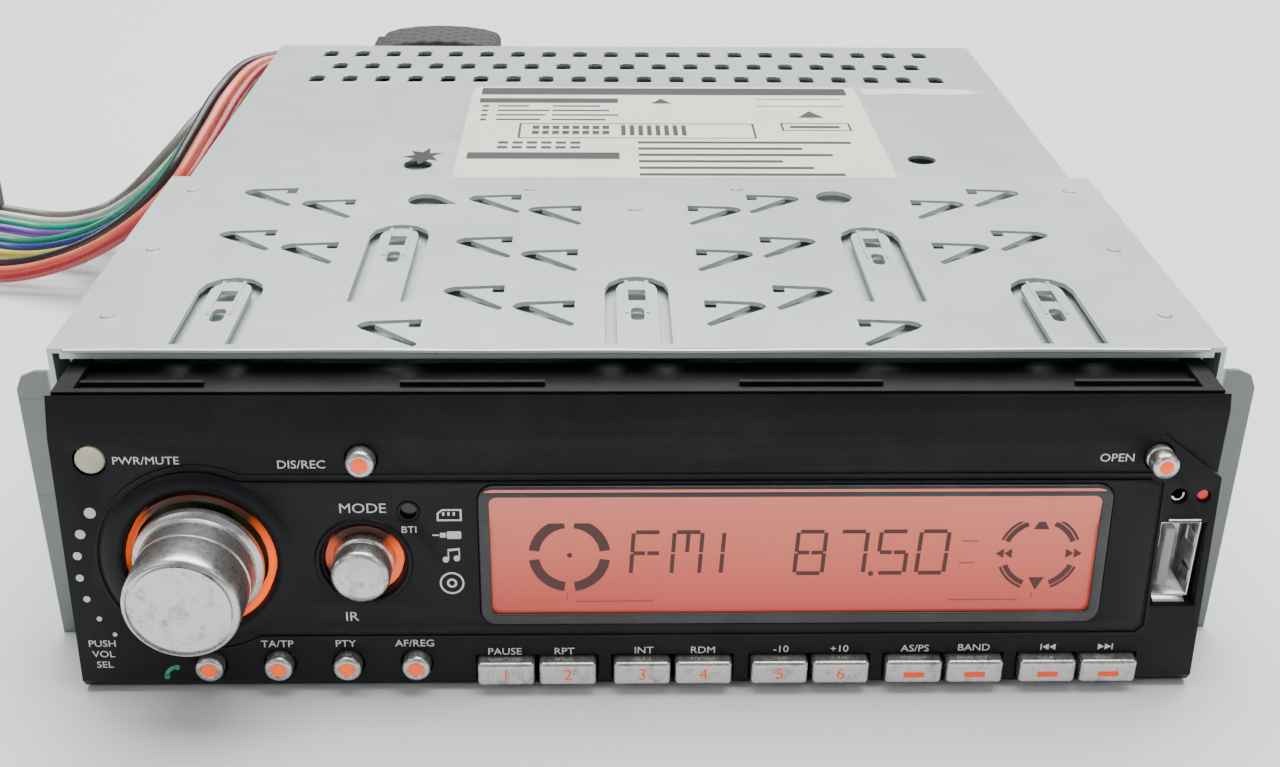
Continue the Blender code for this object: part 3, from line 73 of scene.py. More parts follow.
class Shader:
    """Builds one procedural material around a Principled BSDF."""

    def __init__(self, name: str, space: Space = Space.OBJECT) -> None:
        """Start an empty material.

        Args:
            name: the material's name.
            space: the coordinates its patterns follow.
        """
        self.material = bpy.data.materials.new(name)
        self.material.use_nodes = True
        self.tree = self.material.node_tree
        self.tree.nodes.clear()
        self.output = self.tree.nodes.new("ShaderNodeOutputMaterial")
        self.surface = self.tree.nodes.new("ShaderNodeBsdfPrincipled")
        self.tree.links.new(self.surface.outputs["BSDF"], self.output.inputs["Surface"])
        self.where = self.tree.nodes.new("ShaderNodeTexCoord").outputs[space.value]

    def put(self, **values: float | Colour | bpy.types.NodeSocket) -> None:
        """Set sockets of the surface; an underscore in a key stands for a space.

        Args:
            values: a constant or a socket for each named input.
        """
        for key, value in values.items():
            self.feed(self.surface.inputs[key.replace("_", " ")], value)

    def feed(self, socket: bpy.types.NodeSocket, value: float | Colour | bpy.types.NodeSocket) -> None:
        """Link or set one input.

        Args:
            socket: the input.
            value: a socket, a number or a colour.
        """
        if isinstance(value, bpy.types.NodeSocket):
            self.tree.links.new(value, socket)
        elif isinstance(value, tuple) and len(socket.default_value) == 4:
            socket.default_value = (*value, 1.0)
        else:
            socket.default_value = value

    def stretch(self, scale: Colour, turn: Colour = (0.0, 0.0, 0.0),
                shift: Colour = (0.0, 0.0, 0.0)) -> bpy.types.NodeSocket:
        """Coordinates scaled, turned and shifted for one pattern.

        Args:
            scale: factor along each axis.
            turn: rotation in radians.
            shift: offset in metres.

        Returns:
            The mapped coordinates.
        """
        node = self.tree.nodes.new("ShaderNodeMapping")
        node.inputs["Scale"].default_value = scale
        node.inputs["Rotation"].default_value = turn
        node.inputs["Location"].default_value = shift
        self.tree.links.new(self.where, node.inputs["Vector"])
        return node.outputs["Vector"]

    def noise(self, scale: float, detail: float = 3.0, roughness: float = 0.5,
              where: bpy.types.NodeSocket | None = None) -> bpy.types.NodeSocket:
        """Cloudy noise from 0 to 1.

        Args:
            scale: how fine it is, per metre.
            detail: number of finer layers.
            roughness: strength of the finer layers.
            where: mapped coordinates, or the material's own.

        Returns:
            The noise value.
        """
        node = self.tree.nodes.new("ShaderNodeTexNoise")
        self.tree.links.new(where or self.where, node.inputs["Vector"])
        node.inputs["Scale"].default_value = scale
        node.inputs["Detail"].default_value = detail
        node.inputs["Roughness"].default_value = roughness
        return node.outputs["Fac"]

    def cells(self, scale: float, where: bpy.types.NodeSocket | None = None,
              output: str = "Distance") -> bpy.types.NodeSocket:
        """Cell pattern.

        Args:
            scale: cells per metre.
            where: mapped coordinates, or the material's own.
            output: Distance from each cell's middle, or its random Color.

        Returns:
            The chosen output.
        """
        node = self.tree.nodes.new("ShaderNodeTexVoronoi")
        self.tree.links.new(where or self.where, node.inputs["Vector"])
        node.inputs["Scale"].default_value = scale
        return node.outputs[output]

    def ramp(self, factor: bpy.types.NodeSocket, *stops: tuple[float, Colour]) -> bpy.types.NodeSocket:
        """Colours along a factor.

        Args:
            factor: a value from 0 to 1.
            stops: position and colour of each stop.

        Returns:
            The colour.
        """
        node = self.tree.nodes.new("ShaderNodeValToRGB")
        self.tree.links.new(factor, node.inputs["Fac"])
        while len(node.color_ramp.elements) < len(stops):
            node.color_ramp.elements.new(0.5)
        for element, (place, colour) in zip(node.color_ramp.elements, stops):
            element.position, element.color = place, (*colour, 1.0)
        return node.outputs["Color"]

    def level(self, factor: bpy.types.NodeSocket, low: float, high: float,
              start: float = 0.0, end: float = 1.0) -> bpy.types.NodeSocket:
        """Map one range of a value to another, clamped.

        Args:
            factor: the value.
            low: result at start.
            high: result at end.
            start: value that gives low.
            end: value that gives high.

        Returns:
            The mapped value.
        """
        node = self.tree.nodes.new("ShaderNodeMapRange")
        self.tree.links.new(factor, node.inputs["Value"])
        for key, value in (("From Min", start), ("From Max", end), ("To Min", low), ("To Max", high)):
            node.inputs[key].default_value = value
        return node.outputs["Result"]

    def axis(self, name: str) -> bpy.types.NodeSocket:
        """One coordinate, X, Y or Z, in metres."""
        node = self.tree.nodes.new("ShaderNodeSeparateXYZ")
        self.tree.links.new(self.where, node.inputs["Vector"])
        return node.outputs[name]

    def maths(self, operation: str, first: float | bpy.types.NodeSocket,
              second: float | bpy.types.NodeSocket) -> bpy.types.NodeSocket:
        """Arithmetic on two values.

        Args:
            operation: Blender's name for it, such as MULTIPLY.
            first: first operand.
            second: second operand.

        Returns:
            The result.
        """
        node = self.tree.nodes.new("ShaderNodeMath")
        node.operation = operation
        self.feed(node.inputs[0], first)
        self.feed(node.inputs[1], second)
        return node.outputs["Value"]

    def mix(self, factor: bpy.types.NodeSocket, first: Colour | bpy.types.NodeSocket,
            second: Colour | bpy.types.NodeSocket) -> bpy.types.NodeSocket:
        """Blend two colours.

        Args:
            factor: 0 for the first, 1 for the second.
            first: a colour or a socket.
            second: a colour or a socket.

        Returns:
            The blend.
        """
        node = self.tree.nodes.new("ShaderNodeMix")
        node.data_type = "RGBA"
        self.tree.links.new(factor, node.inputs["Factor"])
        self.feed(node.inputs[6], first)
        self.feed(node.inputs[7], second)
        return node.outputs[2]

    def bump(self, height: bpy.types.NodeSocket, depth: float, strength: float = 1.0) -> None:
        """Raise the surface by a height pattern.

        Args:
            height: the pattern, 0 to 1.
            depth: its depth in metres.
            strength: how much of it shows.
        """
        node = self.tree.nodes.new("ShaderNodeBump")
        node.inputs["Distance"].default_value = depth
        node.inputs["Strength"].default_value = strength
        self.tree.links.new(height, node.inputs["Height"])
        self.tree.links.new(node.outputs["Normal"], self.surface.inputs["Normal"])

    def scratches(self, turn: float, amount: float) -> bpy.types.NodeSocket:
        """Thin straight scratches in one direction.

        Args:
            turn: their direction, in radians about each axis.
            amount: share of the surface they cover, up to about 0.1.

        Returns:
            1 in a scratch, 0 elsewhere.
        """
        streak = self.noise(1.0, 1.0, 0.4, self.stretch((26.0, 2600.0, 900.0), (turn, 0.3 * turn, turn)))
        return self.level(streak, 0.0, 1.0, 0.745 - amount, 0.79 - amount)


@dataclass(frozen=True)
class GalvanisedSteel:
    """Zinc-coated sheet with faint spangle, specks and handling scratches, and painted shade on the
    front-facing ears.
    """

    name: str = "galvanised_steel"
    pale: Colour = (0.60, 0.66, 0.635)
    dull: Colour = (0.43, 0.48, 0.455)
    stain: Colour = (0.16, 0.16, 0.145)
    speck_amount: float = 0.5

    def make(self) -> bpy.types.Material:
        """Build the material."""
        s = Shader(self.name)
        spangle = s.cells(170.0, output="Color")
        patch = s.noise(14.0, 4.0, 0.6)
        base = s.mix(s.level(patch, 0.0, 0.75, 0.35, 0.72), self.pale, self.dull)
        base = s.mix(s.level(spangle, 0.0, 0.16), base, self.dull)
        speck = s.level(s.cells(330.0), 1.0, 0.0, 0.04, 0.11)
        where = s.level(s.noise(42.0, 2.0), 0.0, self.speck_amount, 0.54, 0.66)
        base = s.mix(s.maths("MULTIPLY", speck, where), base, self.stain)
        scratch = s.maths("MAXIMUM", s.scratches(0.5, 0.02), s.scratches(1.9, 0.0))
        base = s.mix(s.level(scratch, 0.0, 0.45), base, (0.30, 0.32, 0.31))
        # Painted shade: beyond |X| = 91.1 mm the front-facing ears are darkened towards a dark grey, standing
        # in for the shade they get under the overhead light.
        painted_ear_shade = s.level(s.maths("ABSOLUTE", s.axis("X"), 0.0), 0.0, 0.8, 0.0911, 0.0916)
        base = s.mix(painted_ear_shade, base, (0.10, 0.11, 0.105))
        s.put(Base_Color=base, Metallic=0.55, Roughness=s.level(s.noise(60.0, 5.0, 0.65), 0.30, 0.50))
        s.bump(s.maths("SUBTRACT", s.noise(900.0, 2.0), scratch), 0.00003, 0.35)
        return s.material


@dataclass(frozen=True)
class PlatedMetal:
    """Bright plated metal with fine wear."""

    name: str
    colour: Colour
    roughness: float = 0.22
    tarnish: Colour = (0.35, 0.30, 0.22)
    tarnish_amount: float = 0.2

    def make(self) -> bpy.types.Material:
        """Build the material."""
        s = Shader(self.name)
        cloud = s.level(s.noise(230.0, 4.0, 0.6), 0.0, self.tarnish_amount, 0.5, 0.75)
        s.put(Base_Color=s.mix(cloud, self.colour, self.tarnish), Metallic=1.0,
              Roughness=s.level(s.noise(700.0, 3.0), self.roughness * 0.7, self.roughness * 1.5))
        s.bump(s.noise(1500.0, 2.0), 0.00002, 0.25)
        return s.material


@dataclass(frozen=True)
class Moulding:
    """Injection-moulded plastic: fine grain, slight sheen and rubbed patches."""

    name: str
    colour: Colour
    rubbed: Colour
    roughness: float = 0.48
    grain: float = 2600.0
    depth: float = 0.00005
    sheen: float = 0.0
    specular: float = 0.5

    def make(self) -> bpy.types.Material:
        """Build the material."""
        s = Shader(self.name)
        dirt = s.level(s.noise(70.0, 5.0, 0.7), 0.0, 0.55, 0.48, 0.78)
        lint = s.level(s.noise(1.0, 2.0, 0.5, s.stretch((240.0, 240.0, 1500.0), (0.4, 0.7, 0.2))), 0.0, 0.35,
                       0.70, 0.76)
        base = s.mix(s.maths("MAXIMUM", dirt, lint), self.colour, self.rubbed)
        s.put(Base_Color=base, Roughness=s.level(s.noise(160.0, 4.0), self.roughness - 0.08,
                                                 self.roughness + 0.1),
              Specular_IOR_Level=self.specular, Sheen_Weight=self.sheen)
        s.bump(s.cells(self.grain), self.depth, 0.45)
        return s.material


@dataclass(frozen=True)
class SilverPaint:
    """Silver-painted plastic, scratched and rubbed at its high spots."""

    name: str = "silver_paint"
    colour: Colour = (0.60, 0.585, 0.565)
    worn: Colour = (0.16, 0.145, 0.13)

    def make(self) -> bpy.types.Material:
        """Build the material."""
        s = Shader(self.name)
        grime = s.level(s.noise(420.0, 5.0, 0.7), 0.0, 0.8, 0.52, 0.74)
        scratch = s.level(s.noise(1.0, 2.0, 0.5, s.stretch((3200.0, 400.0, 260.0), (0.2, 0.9, 0.3))),
                          0.0, 1.0, 0.66, 0.74)
        pale = s.mix(s.level(s.noise(2400.0, 2.0), 0.0, 0.35), self.colour, (0.80, 0.79, 0.77))
        base = s.mix(s.maths("MAXIMUM", grime, s.maths("MULTIPLY", scratch, 0.6)), pale, self.worn)
        s.put(Base_Color=base, Metallic=0.92, Roughness=s.level(s.noise(900.0, 3.0), 0.20, 0.36))
        s.bump(s.maths("SUBTRACT", s.noise(5200.0, 2.0), scratch), 0.00003, 0.35)
        return s.material


@dataclass(frozen=True)
class LightGuide:
    """Clear plastic lit orange from one side."""

    name: str
    colour: Colour = (1.0, 0.105, 0.004)
    centre: tuple[float, float] = (0.0, 0.0)
    bright_at: float = -0.5
    strength: float = 1.5

    def make(self) -> bpy.types.Material:
        """Build the material."""
        s = Shader(self.name)
        x = s.maths("SUBTRACT", s.axis("X"), self.centre[0])
        z = s.maths("SUBTRACT", s.axis("Z"), self.centre[1])
        angle = s.maths("ARCTAN2", z, x)
        wave = s.maths("COSINE", s.maths("SUBTRACT", angle, self.bright_at), 0.0)
        near = s.level(wave, 0.0, 1.0, 0.45, 0.9)
        far = s.level(wave, 0.45, 0.0, -0.98, -0.86)
        glow = s.maths("ADD", s.maths("MAXIMUM", near, far), 0.012)
        flicker = s.level(s.noise(300.0, 2.0), 0.8, 1.1)
        s.put(Base_Color=(0.05, 0.016, 0.010), Roughness=0.35, Emission_Color=self.colour,
              Emission_Strength=s.maths("MULTIPLY", s.maths("MULTIPLY", glow, flicker), self.strength))
        return s.material


@dataclass(frozen=True)
class DisplayGlass:
    """Smoked window lit salmon from behind, deeper red towards the bottom."""

    name: str
    low: float
    high: float
    top: Colour = (0.70, 0.155, 0.100)
    bottom: Colour = (0.56, 0.050, 0.026)

    def make(self) -> bpy.types.Material:
        """Build the material."""
        s = Shader(self.name)
        height = s.level(s.axis("Z"), 0.0, 1.0, self.low, self.high)
        cloud = s.level(s.noise(35.0, 2.0), -0.12, 0.12)
        colour = s.ramp(s.maths("ADD", height, cloud), (0.0, self.bottom), (0.45, (0.66, 0.100, 0.058)),
                        (1.0, self.top))
        s.put(Base_Color=colour, Roughness=0.16, Coat_Weight=0.35, Coat_Roughness=0.08,
              Emission_Color=colour, Emission_Strength=0.42)
        s.bump(s.noise(600.0, 2.0), 0.00001, 0.2)
        return s.material


@dataclass(frozen=True)
class Ink:
    """Printed or lit marking."""

    name: str
    colour: Colour
    glow: float = 0.0
    roughness: float = 0.45

    def make(self) -> bpy.types.Material:
        """Build the material."""
        s = Shader(self.name)
        worn = s.level(s.noise(900.0, 4.0, 0.7), 0.0, 0.35, 0.5, 0.75)
        dark = tuple(0.55 * part for part in self.colour)
        colour = s.mix(worn, self.colour, dark)
        s.put(Base_Color=colour, Roughness=self.roughness, Emission_Color=colour,
              Emission_Strength=self.glow)
        return s.material


@dataclass(frozen=True)
class WireJacket:
    """Glossy PVC insulation."""

    name: str
    colour: Colour

    def make(self) -> bpy.types.Material:
        """Build the material."""
        s = Shader(self.name)
        dull = tuple(0.72 * part + 0.01 for part in self.colour)
        colour = s.mix(s.level(s.noise(120.0, 3.0), 0.0, 0.8, 0.4, 0.75), self.colour, dull)
        s.put(Base_Color=colour, Roughness=s.level(s.noise(450.0, 3.0), 0.20, 0.36), Coat_Weight=0.4,
              Coat_Roughness=0.15)
        s.bump(s.noise(700.0, 2.0), 0.00003, 0.3)
        return s.material


@dataclass(frozen=True)
class Paper:
    """Sticker paper, slightly yellowed and creased."""

    name: str = "label_paper"
    colour: Colour = (0.74, 0.72, 0.64)

    def make(self) -> bpy.types.Material:
        """Build the material."""
        s = Shader(self.name)
        stain = s.level(s.noise(55.0, 5.0, 0.65), 0.0, 0.5, 0.45, 0.8)
        s.put(Base_Color=s.mix(stain, self.colour, (0.55, 0.50, 0.38)), Roughness=0.6)
        s.bump(s.noise(130.0, 4.0), 0.0001, 0.3)
        return s.material


@dataclass(frozen=True)
class SolderMask:
    """Green circuit board with darker tracks."""

    name: str = "solder_mask"

    def make(self) -> bpy.types.Material:
        """Build the material."""
        s = Shader(self.name)
        brick = s.tree.nodes.new("ShaderNodeTexBrick")
        s.tree.links.new(s.where, brick.inputs["Vector"])
        brick.inputs["Scale"].default_value = 130.0
        brick.inputs["Mortar Size"].default_value = 0.09
        brick.inputs["Color1"].default_value = (0.018, 0.13, 0.05, 1)
        brick.inputs["Color2"].default_value = (0.024, 0.16, 0.06, 1)
        brick.inputs["Mortar"].default_value = (0.05, 0.25, 0.10, 1)
        s.put(Base_Color=s.mix(s.noise(80.0), brick.outputs["Color"], (0.02, 0.12, 0.05)), Roughness=0.35)
        s.bump(brick.outputs["Fac"], 0.00004, 0.4)
        return s.material


@dataclass(frozen=True)
class BraidedSleeve:
    """Coarse black woven cloth over the plug's hood."""

    name: str = "black_braid"
    pitch: float = 900.0

    def make(self) -> bpy.types.Material:
        """Build the material."""
        s = Shader(self.name)
        bands = []
        for turn in (0.8, -0.8):
            node = s.tree.nodes.new("ShaderNodeTexWave")
            s.tree.links.new(s.stretch((1.0, 1.0, 1.0), (0.3, turn, turn)), node.inputs["Vector"])
            node.inputs["Scale"].default_value = self.pitch / 6.283
            bands.append(node.outputs["Fac"])
        weave = s.maths("MAXIMUM", *bands)
        s.put(Base_Color=s.mix(weave, (0.006, 0.006, 0.007), (0.045, 0.044, 0.045)), Roughness=0.7)
        s.bump(weave, 0.0003, 0.7)
        return s.material


@dataclass(frozen=True)
class Tabletop:
    """Plain pale table."""

    name: str = "pale_table"
    colour: Colour = (0.80, 0.81, 0.83)

    def make(self) -> bpy.types.Material:
        """Build the material."""
        s = Shader(self.name)
        tone = s.mix(s.noise(2.0, 2.0), self.colour, (0.78, 0.79, 0.81))
        s.put(Base_Color=tone, Roughness=0.55)
        return s.material


class Finishes:
    """Every finish on the radio, made once."""

    def __init__(self) -> None:
        """Make them all."""
        self.steel = GalvanisedSteel().make()
        self.cover_steel = GalvanisedSteel("cover_steel", (0.58, 0.635, 0.62), (0.47, 0.52, 0.51)).make()
        self.bright = PlatedMetal("nickel_plate", (0.74, 0.74, 0.73)).make()
        self.aluminium = PlatedMetal("cast_aluminium", (0.56, 0.57, 0.58), 0.4).make()
        self.black = Moulding("black_moulding", (0.0060, 0.0062, 0.0068), (0.019, 0.0195, 0.020), 0.5,
                              specular=0.2).make()
        self.satin = Moulding("satin_black", (0.0042, 0.0048, 0.0068), (0.012, 0.0125, 0.015), 0.33,
                              5200.0, 0.00002, specular=0.2).make()
        self.bezel = Moulding("smoked_bezel", (0.028, 0.028, 0.030), (0.09, 0.09, 0.095), 0.30).make()
        self.orange_body = Moulding("orange_fuse", (0.55, 0.14, 0.02), (0.35, 0.10, 0.03), 0.3).make()
        self.rubber = Moulding("black_rubber", (0.014, 0.014, 0.014), (0.04, 0.038, 0.036), 0.62).make()
        self.grey = Moulding("grey_moulding", (0.42, 0.42, 0.40), (0.30, 0.30, 0.28), 0.42).make()
        self.resin = Moulding("aged_resin", (0.58, 0.55, 0.40), (0.38, 0.34, 0.22), 0.32, 1400.0).make()
        self.silver = SilverPaint().make()
        self.white_ink = Ink("white_print", (0.72, 0.73, 0.74)).make()
        self.green_ink = Ink("green_print", (0.02, 0.42, 0.20)).make()
        self.orange_ink = Ink("lit_orange_print", (0.95, 0.075, 0.004), 0.35).make()
        self.button_glow = Ink("lit_button_centre", (1.0, 0.10, 0.005), 0.75).make()
        self.segment_ink = Ink("display_segments", (0.085, 0.022, 0.017)).make()
        self.faint_ink = Ink("display_small_print", (0.30, 0.10, 0.075)).make()
        self.label_ink = Ink("label_black_print", (0.03, 0.03, 0.03), roughness=0.5).make()
        self.red_lamp = Ink("red_lamp", (0.75, 0.02, 0.012), 0.5, 0.2).make()
        self.dark_lens = Ink("dark_lens", (0.02, 0.012, 0.016), roughness=0.12).make()
        self.paper = Paper().make()
        self.board = SolderMask().make()
        self.braid = BraidedSleeve().make()


# ---- mesh tools ---------------------------------------------------------------------------------
def finished(name: str, bm: bmesh.types.BMesh, material: bpy.types.Material, body: str,
             place: Matrix | None = None, smooth: float | None = 30.0) -> Piece:
    """Turn a bmesh into a piece that rides on a body.

    Args:
        name: the piece's name.
        bm: its shape; it is freed.
        material: its finish.
        body: the body it moves with.
        place: transform into the model's frame.
        smooth: edges sharper than this many degrees stay sharp; None leaves every face flat.

    Returns:
        The piece.
    """
    if place is not None:
        bm.transform(place)
    bmesh.ops.remove_doubles(bm, verts=bm.verts, dist=2e-7)
    bmesh.ops.recalc_face_normals(bm, faces=bm.faces)
    mesh = bpy.data.meshes.new(name)
    bm.to_mesh(mesh)
    bm.free()
    mesh.materials.append(material)
    if smooth is not None:
        mesh.shade_smooth()
        mesh.set_sharp_from_angle(angle=math.radians(smooth))
    obj = bpy.data.objects.new(name, mesh)
    bpy.context.scene.collection.objects.link(obj)
    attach(obj, body)
    return obj


def dress(material: bpy.types.Material, *nodes: str) -> None:
    """Give CAD nodes a finish.

    Args:
        material: the finish.
        nodes: names of the nodes.
    """
    for name in nodes:
        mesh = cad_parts[name].data
        mesh.materials.clear()
        mesh.materials.append(material)


def evaluated(obj: Piece) -> bmesh.types.BMesh:
    """Read an object as its modifiers leave it, and remove it.

    Args:
        obj: a linked or loose object.

    Returns:
        Its shape in its own coordinates.
    """
    if not obj.users_collection:
        bpy.context.scene.collection.objects.link(obj)
    graph = bpy.context.evaluated_depsgraph_get()
    mesh = bpy.data.meshes.new_from_object(obj.evaluated_get(graph))
    bm = bmesh.new()
    bm.from_mesh(mesh)
    data = obj.data
    bpy.data.objects.remove(obj, do_unlink=True)
    bpy.data.meshes.remove(mesh)
    if isinstance(data, bpy.types.Curve):
        bpy.data.curves.remove(data)
    return bm


def slab(loops: Iterable[Loop], thickness: float, bevel: float = 0.0, rise: float = 0.0) -> bmesh.types.BMesh:
    """A flat outline with holes, from z = rise up to rise + thickness.

    Args:
        loops: closed outlines; inner ones are holes.
        thickness: how thick it is.
        bevel: rounding of its edges.
        rise: height of its underside.

    Returns:
        The shape.
    """
    curve = bpy.data.curves.new("outline", "CURVE")
    curve.dimensions, curve.fill_mode = "2D", "BOTH"
    curve.extrude = thickness / 2 - bevel
    curve.bevel_depth, curve.bevel_resolution = bevel, 1
    curve.offset = -bevel
    for loop in loops:
        spline = curve.splines.new("POLY")
        spline.points.add(len(loop) - 1)
        for point, (x, y) in zip(spline.points, loop):
            point.co = (x, y, 0.0, 1.0)
        spline.use_cyclic_u = True
    bm = evaluated(bpy.data.objects.new("outline", curve))
    bmesh.ops.translate(bm, vec=(0, 0, rise + thickness / 2), verts=bm.verts)
    return bm


def lathe(stations: Sequence[tuple[float, float]], sides: int = 64) -> bmesh.types.BMesh:
    """A body turned about Z.

    Args:
        stations: (radius, height) from one end of the axis, or round a ring, to the other.
        sides: faces around it.

    Returns:
        The shape.
    """
    bm = bmesh.new()
    rows = []
    for radius, height in stations:
        if radius < 1e-9:
            rows.append([bm.verts.new((0, 0, height))] * sides)
        else:
            rows.append([bm.verts.new((radius * math.cos(2 * math.pi * i / sides),
                                       radius * math.sin(2 * math.pi * i / sides), height))
                         for i in range(sides)])
    pairs = list(zip(rows, rows[1:]))
    if stations[0][0] > 1e-9 and stations[-1][0] > 1e-9:
        pairs.append((rows[-1], rows[0]))
    for low, high in pairs:
        for i in range(sides):
            j = (i + 1) % sides
            corners = list(dict.fromkeys((low[i], low[j], high[j], high[i])))
            if len(corners) > 2:
                bm.faces.new(corners)
    return bm


def brick(size: Sequence[float], bevel: float, segments: int = 2) -> bmesh.types.BMesh:
    """A rounded block centred on the origin.

    Args:
        size: its three sides.
        bevel: rounding of its edges.
        segments: steps in the rounding.

    Returns:
        The shape.
    """
    bm = bmesh.new()
    bmesh.ops.create_cube(bm, size=1.0)
    bmesh.ops.scale(bm, vec=size, verts=bm.verts)
    bmesh.ops.bevel(bm, geom=bm.edges[:], offset=bevel, segments=segments, affect="EDGES", profile=0.5)
    return bm


def merged(parts: Iterable[bmesh.types.BMesh]) -> bmesh.types.BMesh:
    """Put several shapes in one bmesh.

    Args:
        parts: the shapes; they are freed.

    Returns:
        One shape that holds them all.
    """
    whole = bmesh.new()
    for part in parts:
        mesh = bpy.data.meshes.new("part")
        part.to_mesh(mesh)
        part.free()
        whole.from_mesh(mesh)
        bpy.data.meshes.remove(mesh)
    return whole


def placed(bm: bmesh.types.BMesh, place: Matrix) -> bmesh.types.BMesh:
    """Move a shape and hand it back."""
    bm.transform(place)
    return bm


def ring(x: float, y: float, radius: float, sides: int = 48) -> Loop:
    """A round outline."""
    return [(x + radius * math.cos(2 * math.pi * i / sides), y + radius * math.sin(2 * math.pi * i / sides))
            for i in range(sides)]


def rounded(x: float, y: float, width: float, height: float, corner: float, steps: int = 6) -> Loop:
    """A rectangle with round corners.

    Args:
        x: middle across.
        y: middle up.
        width: full width.
        height: full height.
        corner: corner radius.
        steps: steps in each corner.

    Returns:
        The outline.
    """
    loop = []
    for index, (sx, sy) in enumerate(((1, 1), (-1, 1), (-1, -1), (1, -1))):
        cx, cy = x + sx * (width / 2 - corner), y + sy * (height / 2 - corner)
        for step in range(steps + 1):
            angle = math.pi / 2 * (index + step / steps)
            loop.append((cx + corner * math.cos(angle), cy + corner * math.sin(angle)))
    return loop


def arc_band(x: float, y: float, inner: float, outer: float, start: float, end: float,
             steps: int = 14) -> Loop:
    """Part of a flat ring.

    Args:
        x: middle across.
        y: middle up.
        inner: inner radius.
        outer: outer radius.
        start: first angle in degrees.
        end: last angle in degrees.
        steps: steps along it.

    Returns:
        The outline.
    """
    angles = [math.radians(start + (end - start) * i / steps) for i in range(steps + 1)]
    return ([(x + outer * math.cos(a), y + outer * math.sin(a)) for a in angles]
            + [(x + inner * math.cos(a), y + inner * math.sin(a)) for a in reversed(angles)])


def lettering(text: str, height: float, x: float, y: float, thickness: float = 0.00003,
              lean: float = 0.0, wide: float = 1.0) -> bmesh.types.BMesh:
    """Plain lettering centred on a point, as a thin slab.

    Args:
        text: the characters.
        height: height of a capital.
        x: middle across.
        y: middle up.
        thickness: how thick the ink is.
        lean: slant of the letters.
        wide: stretch across.

    Returns:
        The shape.
    """
    curve = bpy.data.curves.new("letters", "FONT")
    curve.body, curve.size = text, height / 0.7
    curve.align_x, curve.align_y = "CENTER", "CENTER"
    curve.shear, curve.resolution_u = lean, 3
    curve.extrude = thickness / 2
    bm = evaluated(bpy.data.objects.new("letters", curve))
    bm.transform(Matrix.Translation((x, y, 0)) @ Matrix.Diagonal((wide, 1, 1, 1)))
    return bm


class Repeated(Enum):
    """Shapes that a scattered row can repeat."""

    STUD = "stud"
    RIM = "rim"
    CHIP = "chip"


